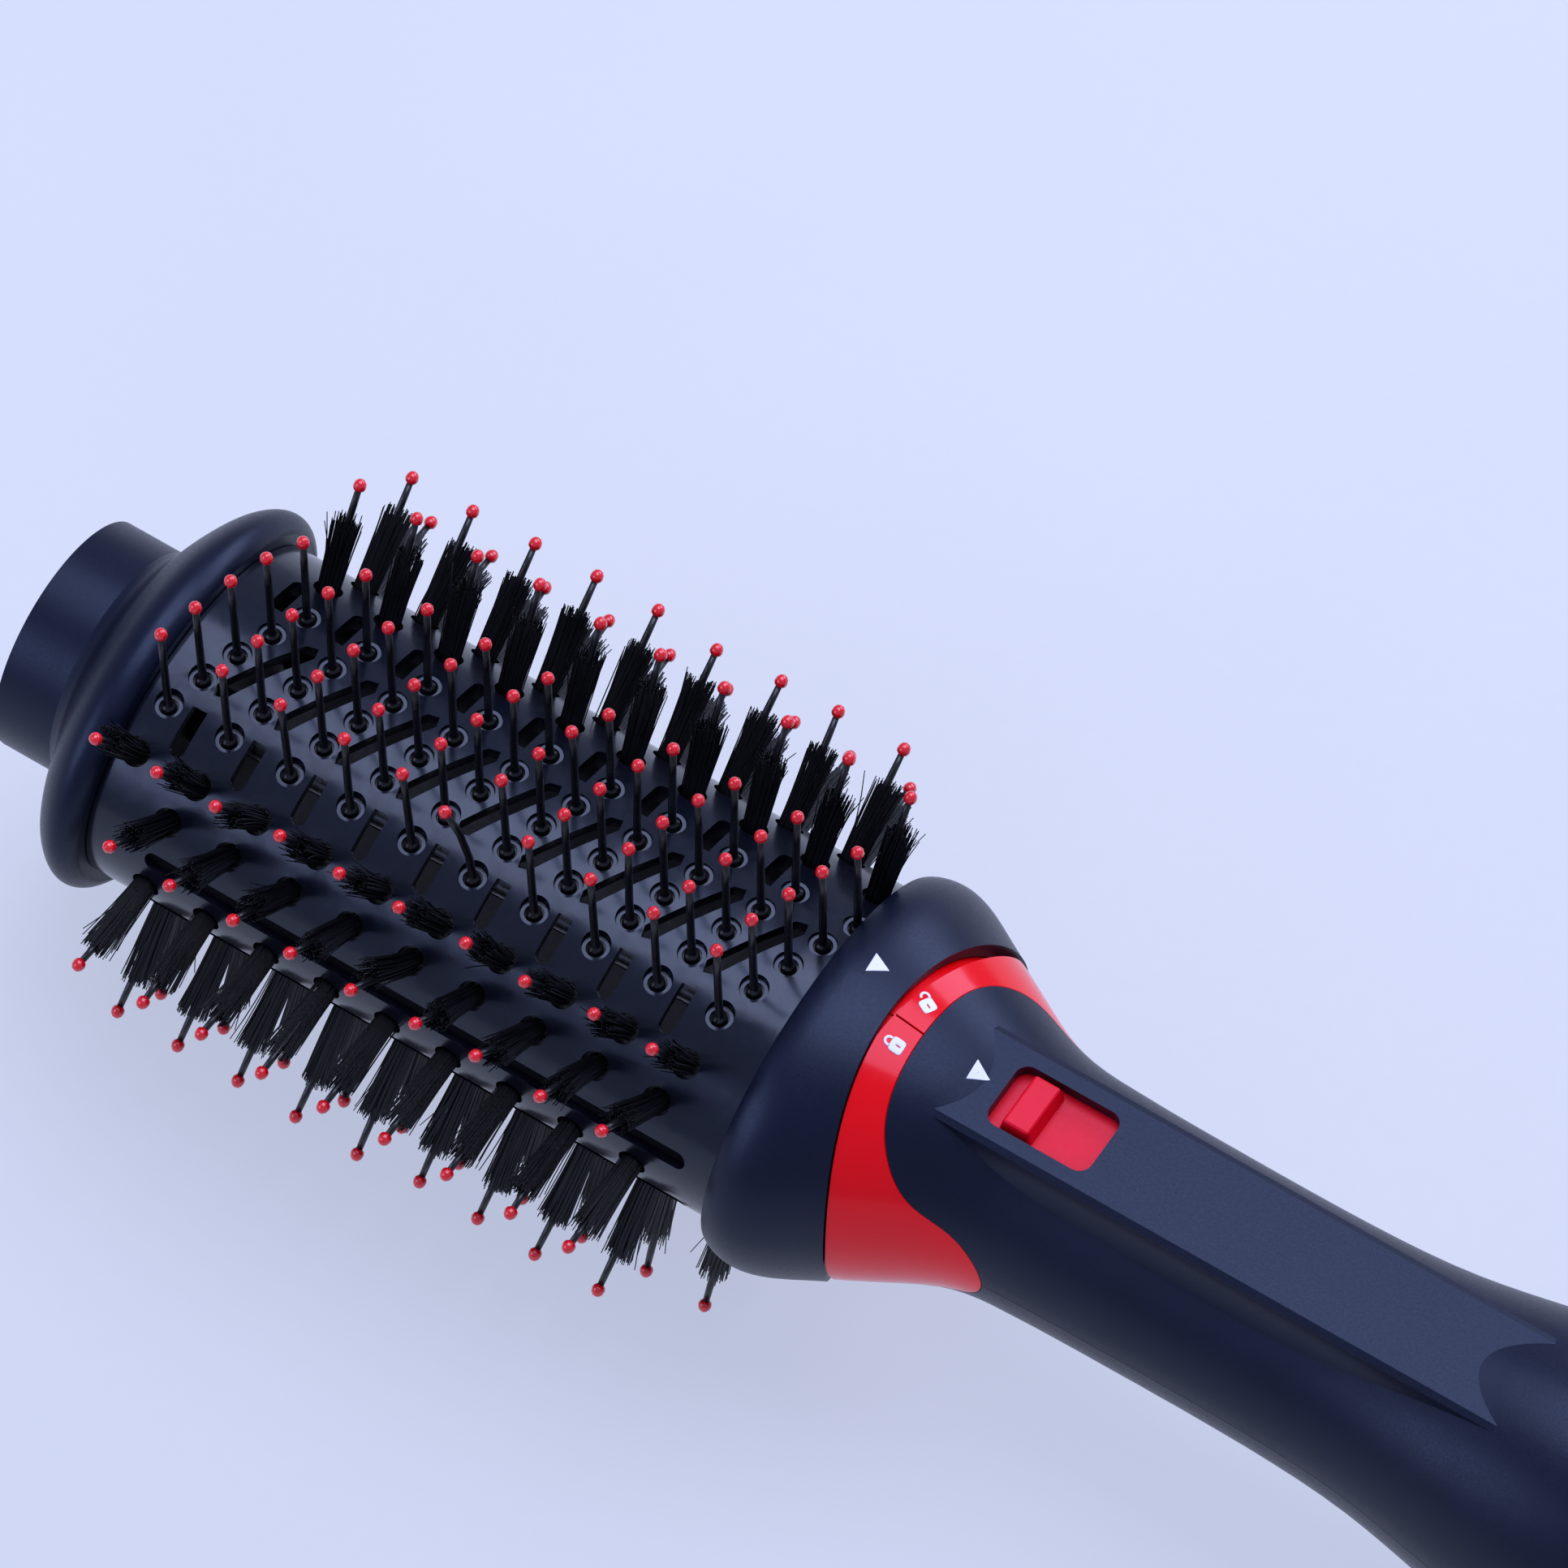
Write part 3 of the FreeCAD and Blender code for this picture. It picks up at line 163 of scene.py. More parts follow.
def pin_places(face):
    """Roots and directions of one face's pins, row by row."""
    row, step = np.meshgrid(PIN_ROWS, np.arange(PINS_IN_ROW), indexing="ij")
    row, step = row.ravel(), step.ravel()
    x = TIP_LENGTH + PINS_START + row * face * ROW_SHIFT + step * TUFT_PITCH
    y = row * ROW_PITCH
    z = face * BARREL_HIGH * np.sqrt(1 - (y / BARREL_WIDE) ** 2)
    tilt = np.radians(row * ROW_FAN)
    directions = np.stack([0 * tilt, np.sin(tilt), face * np.cos(tilt)], axis=-1)
    return np.stack([x, y, z], axis=-1), directions


def tuft_places(side):
    """Roots and directions of one side's tufts, and the heights of their beads."""
    roots, directions, stands = [], [], []
    for root, lean, near_start, far_start, count, stand in TUFT_ROWS:
        x = TIP_LENGTH + (near_start if side == NEAR else far_start) + np.arange(count) * TUFT_PITCH
        roots.append(oval_point(x, root, side))
        angle = math.radians(lean)
        directions.append(np.tile((0, side * math.cos(angle), math.sin(angle)), (count, 1)))
        stands.append(np.full(count, stand))
    return np.concatenate(roots), np.concatenate(directions), np.concatenate(stands)


# ---------------------------------------------------------------- bristles

PIN_PROFILE = np.array((  # height along the pin, from 0 at the barrel to 1 at the bead; radius
    (-0.16, HUB_RADIUS), (-0.013, HUB_RADIUS), (-0.006, 1.12), (0.004, 0.8), (0.02, PIN_RADIUS),
    (0.3, 0.63), (0.65, 0.59), (0.965, 0.56)))
TUFT_PIN_PROFILE = np.array((
    (-0.19, PIN_RADIUS), (0.3, PIN_RADIUS), (0.6, 0.62), (0.8, 0.58), (0.97, 0.52)))
BEAD_RINGS, BEAD_SIDES = 7, 12
PIN_SIDES = 10
FILAMENT_SIDES, FILAMENT_RINGS = 3, 5
BUNDLE_FILL = 0.93  # share of a tuft's root that its filaments fill
FILAMENT_SCATTER = 0.1  # how far a filament's root strays from its place, mm
STRAY_CURL = 5  # a stray curls so many times more than its neighbours
TUFT_LEAN = 0.35  # usual lean of a whole tuft's end, mm
UNEVEN = 0.16  # largest share of its length that a filament is short
BURIED = 1.6  # length of a filament below the barrel's surface, mm


def shaft_lines(roots, directions, heights, shares, sway):
    """Shaft centre lines: root + D h s + sway s^2, which leans a shaft without moving its root."""
    reach = np.clip(shares, 0, None)[None, :, None] ** 2
    straight = roots[:, None] + directions[:, None] * (heights[:, None] * shares[None])[..., None]
    return straight + sway[:, None] * reach


def ball_pins(name, roots, directions, heights, profile, sway):
    """Shafts of a pin field as one piece."""
    lines = shaft_lines(roots, directions, heights, profile[:, 0], sway)
    radii = np.tile(profile[:, 1], (len(roots), 1))
    points, faces = rods(lines, radii, side_vectors(directions), PIN_SIDES)
    return new_piece(name, points, faces, finishes["nylon_pin"], "head")


def beads(name, roots, directions, heights, sway, radius):
    """Egg-shaped beads: radius R sin(phi)^0.9 at height -0.85 R cos(phi) below the middle and
    -1.2 R cos(phi) above it, phi from 0 to pi, on the shafts' own leaning tips."""
    phi = np.linspace(0.02, math.pi - 0.02, BEAD_RINGS)
    rise = -np.cos(phi) * np.where(phi < math.pi / 2, 0.85, 1.2) * radius
    tips = roots + directions * heights[:, None] + sway
    lean = directions * heights[:, None] + 2 * sway
    lean /= np.linalg.norm(lean, axis=1)[:, None]
    lines = tips[:, None] + lean[:, None] * rise[None, :, None]
    radii = np.tile(radius * np.sin(phi) ** 0.9, (len(roots), 1))
    points, faces = rods(lines, radii, side_vectors(lean), BEAD_SIDES)
    return new_piece(name, points, faces, finishes["red_bead"], "head")


def small_sway(random, count, usual):
    """Each shaft's own small lean, along and across the barrel."""
    sway = random.normal(0, usual, (count, 3))
    return np.clip(sway, -2 * usual, 2 * usual) * (1, 1, 0)


def tuft_filaments(roots, directions, settings, random):
    """Bristles of all tufts: p = root + D L t + A (a0 f + a1 t^2) + B (b0 f + b1 t^2).

    (a0, b0) is a filament's place in its bundle, f = 1 + (flare - 1) t^1.5 opens the bundle towards
    its end, and (a1, b1) is the filament's own curl, large on a few strays.
    """
    tufts, each = len(roots), settings.filaments
    turn = np.arange(each) * math.pi * (3 - math.sqrt(5))
    reach = TUFT_ROOT * BUNDLE_FILL * np.sqrt((np.arange(each) + 1.5) / (each + 1))
    spot = np.stack([reach * np.cos(turn), reach * np.sin(turn)], axis=-1)
    spot = spot[None] + random.normal(0, FILAMENT_SCATTER, (tufts, each, 2))
    curl = random.normal(0, settings.curl / MM, (tufts, each, 2))
    stray = random.random((tufts, each)) < settings.strays
    curl = np.where(stray[..., None], curl * STRAY_CURL, curl)
    lean = random.normal(0, TUFT_LEAN, (tufts, 1, 2))
    length = TUFT_LENGTH * (1 - UNEVEN * random.random((tufts, each)) ** 2)
    t = np.linspace(0, 1, FILAMENT_RINGS)
    flare = 1 + (TUFT_END / TUFT_ROOT - 1.08) * t ** 1.5
    across = side_vectors(directions)
    bend = spot[:, :, None] * flare[None, None, :, None] + (curl + lean)[:, :, None] * (t ** 2)[:, None]
    along = -BURIED + (length + BURIED)[..., None] * t
    lines = (roots[:, None, None] + along[..., None] * directions[:, None, None]
             + np.einsum("nktc,ncd->nktd", bend, across))
    lines = lines.reshape(tufts * each, len(t), 3)
    radii = np.tile(settings.filament / 2 / MM * (1 - 0.25 * t ** 3), (tufts * each, 1))
    return rods(lines, radii, np.repeat(across, each, axis=0), FILAMENT_SIDES)


# ---------------------------------------------------------------- printed marks

ARROW_BASE, ARROW_HEIGHT = 3.7, 3.1
ABOVE_ALL = 60.0  # height in mm that the flat marks drop from
INK_LIFT, INK_FILM = 0.03, 0.04  # mm


def turned(points, centre, degrees):
    """Marks' flat points turned and moved on to the handle: x along the brush, y across it."""
    angle = math.radians(degrees)
    turn = np.array(((math.cos(angle), math.sin(angle)), (-math.sin(angle), math.cos(angle))))
    return points @ turn + centre


def flat_patch(inner, outer, rings, closed):
    """Grid between two outlines: (1 - s) inner + s outer."""
    share = np.linspace(0, 1, rings)[:, None, None]
    return (1 - share) * inner[None] + share * outer[None], grid_faces(rings, len(inner), closed)


def arrow_head(base, height):
    """Triangle that points along +X, its corners a little round, as rings round its middle."""
    corners = np.array(((height * 2 / 3, 0), (-height / 3, base / 2), (-height / 3, -base / 2)))
    share = np.linspace(0, 1, 12, endpoint=False)[None, :, None]
    outline = ((1 - share) * corners[:, None] + share * np.roll(corners, -1, axis=0)[:, None]).reshape(-1, 2)
    outline = 0.9 * outline + 0.05 * (np.roll(outline, 1, axis=0) + np.roll(outline, -1, axis=0))
    return flat_patch(outline * 0.02, outline, 8, True)


def padlock(opened):
    """Padlock that stands along -X: a rounded square round a keyhole slot, and a shackle band.

    The square is |x|^5 + |y|^5 = 1 scaled, the slot an ellipse, and the shackle a band whose middle
    line is a half circle with a straight leg at each end, or one leg where it is open.
    """
    turn = np.linspace(0, 2 * math.pi, 48, endpoint=False)
    cos, sin = np.cos(turn), np.sin(turn)
    square = np.stack([cos, sin], axis=-1) / (np.abs(cos) ** 5 + np.abs(sin) ** 5)[:, None] ** 0.2
    slot = np.stack([0.16 + 0.42 * cos, 0.13 * sin], axis=-1)
    body = flat_patch(slot, square * (1.08, 1.16), 7, True)
    bend = np.linspace(0, math.pi, 22)
    arch = np.stack([-1.35 - 0.62 * np.sin(bend), 0.62 * np.cos(bend)], axis=-1)
    out = np.stack([-np.sin(bend), np.cos(bend)], axis=-1)
    foot = np.array(((1.0, 0.0),))
    if opened:
        arch = np.concatenate([arch[:1] + foot * 0.4, arch, arch[-1:] + foot * 0.12])
        arch = turned(arch, (-0.12, 0.1), -14)
        out = turned(np.concatenate([out[:1], out, out[-1:]]), (0, 0), -14)
    else:
        arch = np.concatenate([arch[:1] + foot * 0.4, arch, arch[-1:] + foot * 0.4])
        out = np.concatenate([out[:1], out, out[-1:]])
    shackle = flat_patch(arch - 0.19 * out, arch + 0.19 * out, 4, False)
    return body, shackle


def print_mark(name, patches, centre, degrees, surface, body):
    """Lays flat patches on a node's outer surface, a little proud, and gives them a film's thickness."""
    points, faces, start = [], [], 0
    for grid, quads in patches:
        flat = turned(grid.reshape(-1, 2), centre, degrees)
        points.append(np.column_stack([flat, np.full(len(flat), ABOVE_ALL)]))
        faces.append(quads + start)
        start += len(flat)
    piece = new_piece(name, np.concatenate(points), np.concatenate(faces).tolist(),
                      finishes["white_ink"], body)
    down = piece.modifiers.new("lay", "SHRINKWRAP")
    down.target = frame["nodes"][surface]
    down.wrap_method = "PROJECT"
    down.use_project_z = True
    down.use_negative_direction = True
    down.use_positive_direction = False
    down.offset = INK_LIFT * MM
    film = piece.modifiers.new("film", "SOLIDIFY")
    film.thickness = INK_FILM * MM
    film.offset = -1
    film.use_rim = True
    settled = bpy.data.meshes.new_from_object(
        piece.evaluated_get(bpy.context.evaluated_depsgraph_get()))
    piece.modifiers.clear()
    piece.data = settled
    return piece


# ---------------------------------------------------------------- finishes

finishes = {}
# Specular tint that paints the blue cast of the room's light into the reflections of the black finishes.
PAINTED_BLUE_CAST = (0.58, 0.7, 1.0, 1.0)
RED_TINT = (1.0, 0.5, 0.7, 1.0)


def linear(hex_colour):
    """sRGB hex value as the linear RGBA that a shader takes."""
    channels = [int(hex_colour[i:i + 2], 16) / 255 for i in (1, 3, 5)]
    return [c / 12.92 if c <= 0.04045 else ((c + 0.055) / 1.055) ** 2.4 for c in channels] + [1.0]


def add(tree, kind, inputs=(), **settings):
    """Adds a node, sets its properties, and fills its inputs with values or with links."""
    made = tree.nodes.new("ShaderNode" + kind)
    for name, value in settings.items():
        setattr(made, name, value)
    for socket, value in dict(inputs).items():
        if isinstance(value, bpy.types.NodeSocket):
            tree.links.new(value, made.inputs[socket])
        else:
            made.inputs[socket].default_value = value
    return made


def new_finish(name, **sockets):
    """A material with its Principled shader; even values stand on the shader's own sockets."""
    material = bpy.data.materials.new(name)
    material.use_nodes = True
    tree = material.node_tree
    tree.nodes.clear()
    shader = add(tree, "BsdfPrincipled", {name.replace("_", " "): value for name, value in sockets.items()})
    add(tree, "OutputMaterial", {"Surface": shader.outputs["BSDF"]})
    finishes[name] = material
    return tree, shader


def noise(tree, size_mm, detail=2.0, stretch=(1, 1, 1)):
    """Noise on Object coordinates whose blobs are size_mm wide, times stretch along each axis."""
    where = add(tree, "TexCoord").outputs["Object"]
    scaled = add(tree, "Mapping", {"Vector": where, "Scale": [1 / (size_mm * MM * s) for s in stretch]})
    return add(tree, "TexNoise", {"Vector": scaled.outputs["Vector"], "Scale": 1.0, "Detail": detail}
               ).outputs["Fac"]


def spread(tree, value, low, high):
    """Value from 0.3 to 0.7, the usual range of a noise, spread over low to high."""
    return add(tree, "MapRange", {"Value": value, "From Min": 0.3, "From Max": 0.7,
                                  "To Min": low, "To Max": high}).outputs["Result"]


def two_tone(tree, value, dark, light):
    """Colour between two hex colours."""
    mixed = add(tree, "Mix", data_type="RGBA")
    tree.links.new(value, mixed.inputs["Factor"])
    mixed.inputs[6].default_value = linear(dark)
    mixed.inputs[7].default_value = linear(light)
    return mixed.outputs[2]


def relief(tree, shader, value, depth_mm):
    """Bump of that depth."""
    bump = add(tree, "Bump", {"Height": value, "Distance": depth_mm * MM, "Strength": 1.0})
    tree.links.new(bump.outputs["Normal"], shader.inputs["Normal"])


def moulded(name, dark, light, roughness, grain_mm, depth_mm, patch_mm=14.0, **sockets):
    """Plastic or rubber: slow change of tone, fine grain in relief, roughness that follows the grain."""
    tree, shader = new_finish(name, **sockets)
    slow = spread(tree, noise(tree, patch_mm), 0, 1)
    fine = noise(tree, grain_mm, 3.0)
    tree.links.new(two_tone(tree, slow, dark, light), shader.inputs["Base Color"])
    tree.links.new(spread(tree, fine, *roughness), shader.inputs["Roughness"])
    relief(tree, shader, fine, depth_mm)


def drawn_metal(name, dark, light, roughness, stretch, **sockets):
    """Metal with fine marks drawn out along one axis."""
    tree, shader = new_finish(name, Metallic=1.0, **sockets)
    lines = noise(tree, 0.35, 3.0, stretch)
    tree.links.new(two_tone(tree, spread(tree, lines, 0, 1), dark, light), shader.inputs["Base Color"])
    tree.links.new(spread(tree, lines, *roughness), shader.inputs["Roughness"])
    relief(tree, shader, lines, 0.006)


def make_finishes(colours):
    """Every finish of the brush, named for its real material."""
    # ABS sprayed with soft-touch polyurethane: dead matte, a wide soft sheen, fine orange peel. The blue in
    # its base colours and its blue-tinted reflections is painted blue cast of the light, over the plastic's
    # own near-black.
    moulded("soft_touch_black", "#090C1B", "#0B0F21", (0.32, 0.42), 0.45, 0.012, IOR=1.4,
            Specular_Tint=PAINTED_BLUE_CAST)
    # Ceramic lacquer fired on the barrel: gloss with a slow ripple. The blue in its base colours and its
    # blue-tinted reflections is painted blue cast of the light, over the lacquer's own near-black.
    moulded("ceramic_black", "#06070F", "#080A16", (0.2, 0.28), 1.6, 0.004, IOR=1.4,
            Specular_Tint=PAINTED_BLUE_CAST, Coat_Weight=0.35, Coat_Roughness=0.14)
    # Glass-filled nylon as it leaves the mould: satin, faint flow marks.
    moulded("moulded_black", "#101114", "#17181C", (0.38, 0.55), 0.6, 0.015, IOR=1.52)
    # ABS polished in the mould, under a clear coat.
    moulded("gloss_red", colours["ring"], "#E80008", (0.14, 0.22), 2.2, 0.003,
            IOR=1.4, Specular_Tint=RED_TINT, Coat_Weight=0.15, Coat_Roughness=0.06)
    # ABS from a satin mould.
    moulded("satin_red", "#D80018", "#E00420", (0.3, 0.4), 0.5, 0.006, IOR=1.4,
            Specular_Tint=RED_TINT)
    # Nylon pins: moulded, with a waxy shine.
    moulded("nylon_pin", "#08080A", "#0D0D10", (0.26, 0.38), 0.9, 0.006, IOR=1.53)
    # Drawn nylon filament: shiny along its length.
    moulded("nylon_bristle", "#060607", "#0E0E11", (0.28, 0.42), 0.5, 0.002, 6.0, IOR=1.53)
    # Beads dipped in epoxy: glassy.
    moulded("red_bead", colours["bead"], "#D90F1E", (0.12, 0.2), 0.7, 0.004,
            IOR=1.55, Coat_Weight=0.5, Coat_Roughness=0.05)
    # Zinc-plated steel, turned.
    drawn_metal("steel", "#8E9095", "#B6B8BC", (0.25, 0.42), (1, 8, 8))
    # Silicone: soft, slightly see-through grey.
    moulded("silicone", "#2A2B2E", "#333438", (0.5, 0.62), 0.4, 0.01, IOR=1.41)
    # Nickel-chrome wire, oxidised grey.
    drawn_metal("resistance_wire", "#6F6A66", "#8B8580", (0.3, 0.45), (1, 1, 1))
    # Glazed ceramic and lacquered caps.
    moulded("ceramic_white", "#D8D3C6", "#E6E2D8", (0.18, 0.3), 1.0, 0.006, IOR=1.52)
    # Nickel-plated steel can, deep drawn along its axis.
    drawn_metal("motor_steel", "#84868B", "#ADAFB4", (0.2, 0.36), (12, 1, 1))
    # Pad-printed ink: chalky white with a faint ragged cover.
    moulded("white_ink", "#DCDDF0", "#ECECFA", (0.42, 0.58), 0.25, 0.004, IOR=1.5)
    mica_sheet()
    circuit_board()
    woven_filter()
    # Pale matt acrylic under the brush, with an even light of its own.
    moulded("pale_table", colours["table"], colours["table_light"], (0.6, 0.75), 3.0, 0.01, 160.0,
            IOR=1.3, Emission_Color=linear(colours["glow"]), Emission_Strength=0.61)


def mica_sheet():
    """Pressed mica: overlapping flakes 1 to 3 mm wide, pearly, in layers."""
    tree, shader = new_finish("mica", IOR=1.58)
    where = add(tree, "TexCoord").outputs["Object"]
    flakes = add(tree, "TexVoronoi", {"Vector": where, "Scale": 1 / (2.2 * MM)})
    tone = add(tree, "Mix", {"Factor": flakes.outputs["Distance"]}, data_type="RGBA")
    tone.inputs[6].default_value = linear("#C9B98F")
    tone.inputs[7].default_value = linear("#9F8A5E")
    tree.links.new(tone.outputs[2], shader.inputs["Base Color"])
    tree.links.new(spread(tree, noise(tree, 1.5), 0.25, 0.5), shader.inputs["Roughness"])
    relief(tree, shader, flakes.outputs["Distance"], 0.05)


def circuit_board():
    """Solder-masked glass epoxy: tracks 0.8 mm wide show as lighter bands under the green mask."""
    tree, shader = new_finish("circuit_green", IOR=1.55, Coat_Weight=0.3, Coat_Roughness=0.1)
    where = add(tree, "TexCoord").outputs["Object"]
    tracks = add(tree, "TexBrick", {
        "Vector": where, "Scale": 1 / (8 * MM), "Mortar Size": 0.05, "Color1": linear("#0B3B22"),
        "Color2": linear("#0D4427"), "Mortar": linear("#2F7A4A")})
    tree.links.new(tracks.outputs["Color"], shader.inputs["Base Color"])
    tree.links.new(spread(tree, noise(tree, 2.0), 0.2, 0.35), shader.inputs["Roughness"])
    relief(tree, shader, tracks.outputs["Fac"], 0.05)


THREAD_PITCH = 0.6  # mm
THREADS_ROUND = 180.0


def woven_filter():
    """Woven nylon mesh: threads 0.6 mm apart round the drum and along it, drawn coarser than real."""
    tree, shader = new_finish("filter_mesh", IOR=1.53)
    where = add(tree, "TexCoord").outputs["Object"]
    rings = add(tree, "TexWave", {"Vector": where, "Scale": 1 / (math.pi * THREAD_PITCH * MM)},
                bands_direction="X")
    axes = add(tree, "SeparateXYZ", {"Vector": where})
    angle = add(tree, "Math", {0: axes.outputs["Y"], 1: axes.outputs["Z"]}, operation="ARCTAN2")
    threads = add(tree, "Math", {0: angle.outputs["Value"], 1: THREADS_ROUND}, operation="MULTIPLY")
    bars = add(tree, "Math", {0: threads.outputs["Value"]}, operation="SINE")
    weave = add(tree, "Math", {0: rings.outputs["Fac"], 1: bars.outputs["Value"]}, operation="MAXIMUM")
    tone = two_tone(tree, weave.outputs["Value"], "#050506", "#2B2C31")
    tree.links.new(tone, shader.inputs["Base Color"])
    tree.links.new(spread(tree, noise(tree, 1.0), 0.4, 0.6), shader.inputs["Roughness"])
    relief(tree, shader, weave.outputs["Value"], 0.12)


surface_slots = {item["node"]: item["material_slot"] for item in frame["record"]["subparts"]}


# ---------------------------------------------------------------- settings

class BristleSettings(bpy.types.PropertyGroup):
    filaments: IntProperty(
        name="Filaments", description="Bristles in each tuft", default=120, min=20, max=150)
    filament: FloatProperty(
        name="Filament", description="Thickness of a bristle", default=0.24 * MM, unit="LENGTH",
        precision=5)
    curl: FloatProperty(
        name="Curl", description="How far a bristle's end wanders", default=0.22 * MM, unit="LENGTH",
        precision=5)
    strays: FloatProperty(
        name="Strays", description="Share of bristles that stick out", default=0.05, subtype="FACTOR",
        min=0, max=1)
    bead: FloatProperty(
        name="Bead", description="Radius of a bead", default=BALL_RADIUS * MM, unit="LENGTH", precision=5)
    sway: FloatProperty(
        name="Sway", description="Usual lean of a pin's end", default=0.16 * MM, unit="LENGTH", precision=5)


class FinishSettings(bpy.types.PropertyGroup):
    ring: FloatVectorProperty(
        name="Ring", description="Colour of the trim ring, sRGB", default=(0.9, 0.0, 0.03),
        subtype="COLOR_GAMMA", min=0, max=1)
    bead: FloatVectorProperty(
        name="Beads", description="Colour of the beads, sRGB", default=(0.88, 0.01, 0.09),
        subtype="COLOR_GAMMA", min=0, max=1)
    table: FloatVectorProperty(
        name="Table", description="Colour of the table, sRGB", default=(0.51, 0.51, 0.505),
        subtype="COLOR_GAMMA", min=0, max=1)
    glow: FloatVectorProperty(
        name="Glow", description="Colour of the table's own light, sRGB", default=(0.86, 0.89, 1.0),
        subtype="COLOR_GAMMA", min=0, max=1)


class StageSettings(bpy.types.PropertyGroup):
    lens: FloatProperty(
        name="Lens", description="Focal length of the camera in millimetres", default=286.7)
    roll: FloatProperty(
        name="Roll", description="Turn of the camera about the brush's axis",
        default=math.radians(1.0), subtype="ANGLE")
    key: FloatProperty(name="Key", description="Power of the overhead soft box", default=9.0, subtype="POWER")
    fill: FloatProperty(name="Fill", description="Power of the side soft boxes", default=3.7, subtype="POWER")
    sky: FloatProperty(name="Sky", description="Brightness of the room", default=0.52, min=0)


def hex_of(colour):
    return "#" + "".join("%02X" % round(255 * channel) for channel in colour)


# ---------------------------------------------------------------- operators

class BRUSH_OT_finishes(bpy.types.Operator):
    """Make the finishes and give them to the parts of the frame"""
    bl_idname = "brush.finishes"
    bl_label = "Finishes"

    def execute(self, context):
        settings = context.scene.brush_finishes
        lighter = [min(1, channel + 0.02) for channel in settings.table]
        make_finishes({
            "ring": hex_of(settings.ring), "bead": hex_of(settings.bead), "glow": hex_of(settings.glow),
            "table": hex_of(settings.table), "table_light": hex_of(lighter)})
        for node, slot in surface_slots.items():
            for holder in frame["nodes"][node].material_slots:
                holder.material = finishes[slot]
        return {"FINISHED"}


class BRUSH_OT_tufts(bpy.types.Operator):
    """Fill both sides with bristle tufts, each round its long pin with a bead"""
    bl_idname = "brush.tufts"
    bl_label = "Tufts"

    def execute(self, context):
        settings = context.scene.brush_bristles
        for name, side, seed in (("near", NEAR, 11), ("far", FAR, 12)):
            random = np.random.default_rng(seed)
            roots, directions, stands = tuft_places(side)
            points, faces = tuft_filaments(roots, directions, settings, random)
            bundle = new_piece("bristles_" + name, points, faces, finishes["nylon_bristle"], "head",
                               smooth=False)
            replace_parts(bundle, "tufts_" + name)
            sway = small_sway(random, len(roots), 2 * settings.sway / MM)
            shafts = ball_pins("long_pins_" + name, roots, directions, stands, TUFT_PIN_PROFILE, sway)
            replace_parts(shafts, "tuft_pins_" + name)
            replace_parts(beads("long_pin_beads_" + name, roots, directions, stands, sway,
                              settings.bead / MM), "tuft_balls_" + name)
        return {"FINISHED"}


class BRUSH_OT_ball_pins(bpy.types.Operator):
    """Stand the ball pins on both faces, one of them bent"""
    bl_idname = "brush.ball_pins"
    bl_label = "Ball pins"

    def execute(self, context):
        settings = context.scene.brush_bristles
        bent_pin, bent_by = 5, (-2.4, -2.1, -0.25)
        for name, face, seed in (("upper", UPPER, 21), ("lower", LOWER, 22)):
            random = np.random.default_rng(seed)
            roots, directions = pin_places(face)
            heights = np.full(len(roots), PIN_STAND)
            sway = small_sway(random, len(roots), settings.sway / MM)
            if face == UPPER:
                sway[bent_pin] = bent_by
            shafts = ball_pins("ball_pins_" + name, roots, directions, heights, PIN_PROFILE, sway)
            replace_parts(shafts, "pins_" + name)
            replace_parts(beads("beads_" + name, roots, directions, heights, sway, settings.bead / MM),
                        "pin_balls_" + name)
        return {"FINISHED"}


class BRUSH_OT_shade_sheet(bpy.types.Operator):
    """A dark plate on the barrel's middle plane: painted shade, seen as darkness through the slots"""
    bl_idname = "brush.baffle"
    bl_label = "Painted shade sheet"

    def execute(self, context):
        x = SHADE_SHEET_ENDS
        y = SHADE_SHEET_REACH
        z = (-SHADE_SHEET_THICK / 2, SHADE_SHEET_THICK / 2)
        corners, faces = [], []
        for side in (NEAR, FAR):
            start = len(corners)
            corners += [(a, side * b, c) for a in x for b in y[::side] for c in z]
            faces += [[start + index for index in quad] for quad in (
                (0, 1, 3, 2), (4, 6, 7, 5), (0, 4, 5, 1), (2, 3, 7, 6), (0, 2, 6, 4), (1, 5, 7, 3))]
        # The sheet is painted shade: a dark thing put where the hollow barrel holds only shade.
        new_piece("painted_shade_sheet", corners, faces, finishes["moulded_black"], "head",
                  smooth=False)
        return {"FINISHED"}


class BRUSH_OT_marks(bpy.types.Operator):
    """Print the arrow heads and the two padlocks"""
    bl_idname = "brush.marks"
    bl_label = "Printed marks"

    def execute(self, context):
        arrow = arrow_head(ARROW_BASE, ARROW_HEIGHT)
        print_mark("collar_arrow", [arrow], (144.1, 5.0), 6, "collar", "head")
        print_mark("handle_arrow", [arrow], (164.95, 0.2), 4, "upper_shell", "handle")
        print_mark("padlock_closed", padlock(False), (153.4, -3.95), 1, "trim_ring", "handle")
        print_mark("padlock_open", padlock(True), (153.5, 4.3), -25, "trim_ring", "handle")
        return {"FINISHED"}


class BRUSH_OT_stage(bpy.types.Operator):
    """Set the table, the soft lights and the camera"""
    bl_idname = "brush.stage"
    bl_label = "Stage"

    def execute(self, context):
        settings = context.scene.brush_stage
        low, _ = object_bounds()
        half, level = TABLE_HALF, low.z - TABLE_GAP
        mesh = bpy.data.meshes.new("table")
        mesh.from_pydata([(-half, -half, level), (half, -half, level), (half, half, level),
                          (-half, half, level)], [], [(0, 1, 2, 3)])
        mesh.materials.append(finishes["pale_table"])
        table = bpy.data.objects.new("table", mesh)
        context.scene.collection.objects.link(table)
        table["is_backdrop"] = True
        add_camera(context, settings)
        add_lights(context, settings)
        return {"FINISHED"}


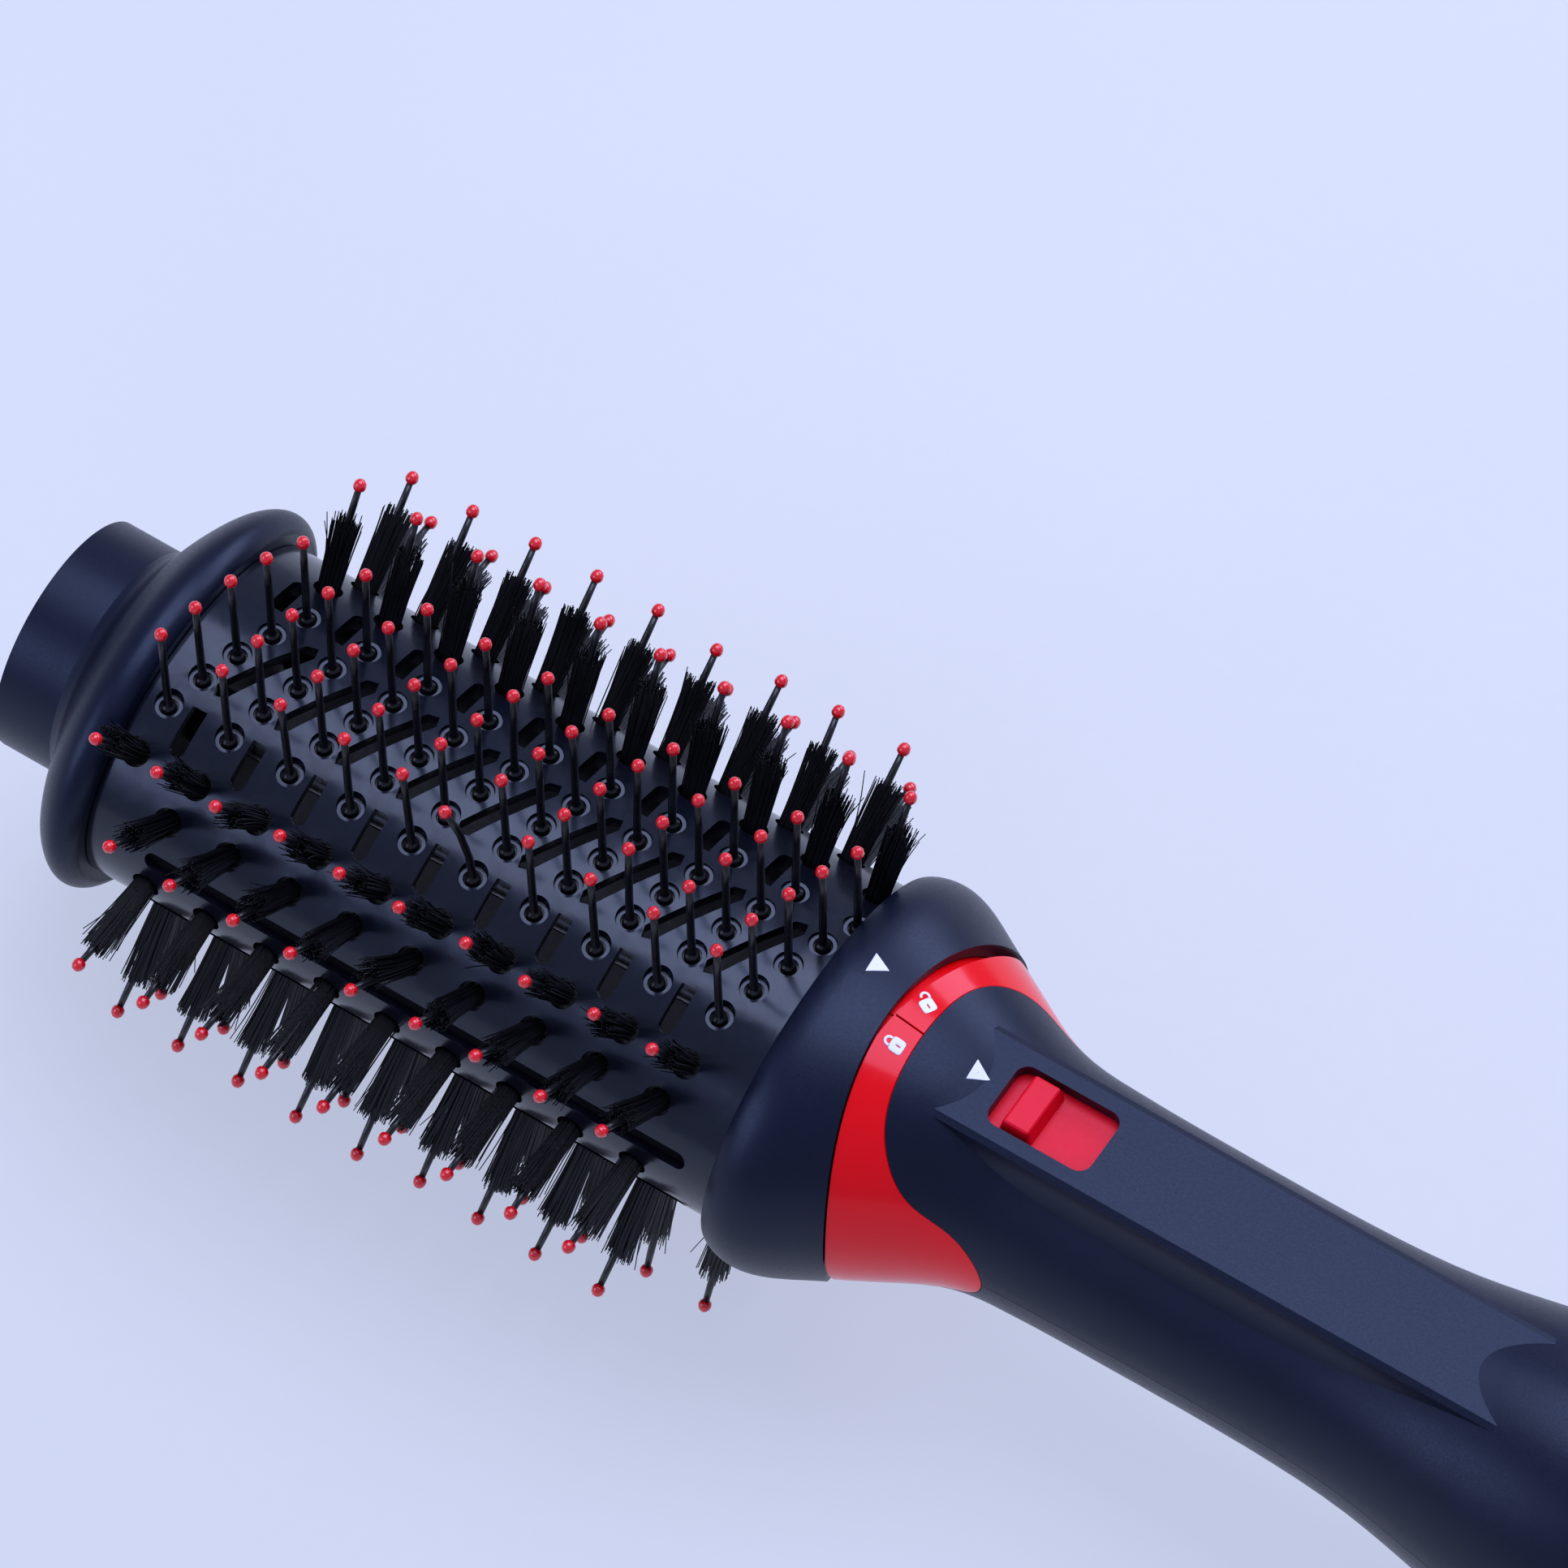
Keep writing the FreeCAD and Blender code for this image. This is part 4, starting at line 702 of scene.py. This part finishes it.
def add_camera(context, settings):
    """Camera by its three axes: right, up and back are the columns of its matrix."""
    right = Vector((0.83737226, 0.5463976, -0.01604254))
    down = Vector((0.46763508, -0.73124613, -0.49658487))
    ahead = Vector((-0.28306382, 0.40832434, -0.86783991))
    turn = Matrix.Rotation(settings.roll, 4, "X")
    axes = Matrix((right, -down, -ahead)).transposed().to_4x4()
    place = Matrix.Translation((0.64245, -0.73601, 1.64267))
    lens = bpy.data.cameras.new("camera")
    lens.lens = settings.lens
    lens.sensor_width = 36
    lens.clip_start, lens.clip_end = 0.05, 20
    camera = bpy.data.objects.new("camera", lens)
    camera.matrix_world = turn @ place @ axes
    context.scene.collection.objects.link(camera)
    context.scene.camera = camera


def add_lights(context, settings):
    """Soft boxes: one overhead, one on each side, in a pale room."""
    boxes = (
        ("overhead_box", (0.10, 0.25, 0.95), (0.12, 0.0, 0.0), (0.9, 0.7), settings.key, "#D6DEFF"),
        ("near_box", (-0.55, -0.75, 0.55), (0.12, 0.0, 0.0), (0.6, 0.6), settings.fill, "#CDD7FF"),
        ("far_box", (0.35, 0.85, 0.5), (0.16, 0.0, 0.0), (0.8, 0.4), settings.fill * 1.4, "#D3DCFF"),
    )
    for name, place, aim, size, power, colour in boxes:
        light = bpy.data.lights.new(name, "AREA")
        light.shape = "RECTANGLE"
        light.size, light.size_y = size
        light.energy = power
        light.color = linear(colour)[:3]
        box = bpy.data.objects.new(name, light)
        toward = Vector(aim) - Vector(place)
        box.matrix_world = Matrix.Translation(place) @ toward.to_track_quat("-Z", "Y").to_matrix().to_4x4()
        context.scene.collection.objects.link(box)
    room = bpy.data.worlds.new("room")
    room.use_nodes = True
    room.node_tree.nodes.clear()
    glow = add(room.node_tree, "Background", {"Color": linear("#C9D4FF"), "Strength": settings.sky})
    add(room.node_tree, "OutputWorld", {"Surface": glow.outputs["Background"]})
    context.scene.world = room
    context.scene.view_settings.view_transform = "Standard"


class BRUSH_PT_sidebar(bpy.types.Panel):
    """Panel with the brush's settings and pieces"""
    bl_label = "Styling brush"
    bl_idname = "BRUSH_PT_sidebar"
    bl_space_type = "VIEW_3D"
    bl_region_type = "UI"
    bl_category = "Styling brush"

    def draw(self, context):
        for settings, operators in (
                (context.scene.brush_finishes, (BRUSH_OT_finishes,)),
                (context.scene.brush_bristles, (BRUSH_OT_tufts, BRUSH_OT_ball_pins, BRUSH_OT_shade_sheet,
                                                 BRUSH_OT_marks)),
                (context.scene.brush_stage, (BRUSH_OT_stage,))):
            box = self.layout.box()
            for name in settings.__annotations__:
                box.prop(settings, name)
            for operator in operators:
                box.operator(operator.bl_idname)


GROUPS = (("brush_bristles", BristleSettings), ("brush_finishes", FinishSettings),
          ("brush_stage", StageSettings))
OPERATORS = (BRUSH_OT_finishes, BRUSH_OT_tufts, BRUSH_OT_ball_pins, BRUSH_OT_shade_sheet, BRUSH_OT_marks,
             BRUSH_OT_stage)


def register():
    for name, group in GROUPS:
        bpy.utils.register_class(group)
        setattr(bpy.types.Scene, name, PointerProperty(type=group))
    for operator in OPERATORS:
        bpy.utils.register_class(operator)
    bpy.utils.register_class(BRUSH_PT_sidebar)


def unregister():
    bpy.utils.unregister_class(BRUSH_PT_sidebar)
    for operator in reversed(OPERATORS):
        bpy.utils.unregister_class(operator)
    for name, group in reversed(GROUPS):
        delattr(bpy.types.Scene, name)
        bpy.utils.unregister_class(group)


def main():
    """Registers the add-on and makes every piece."""
    register()
    bpy.ops.brush.finishes()
    bpy.ops.brush.tufts()
    bpy.ops.brush.ball_pins()
    bpy.ops.brush.baffle()
    bpy.ops.brush.marks()
    bpy.ops.brush.stage()


if __name__ == "__main__":
    main()
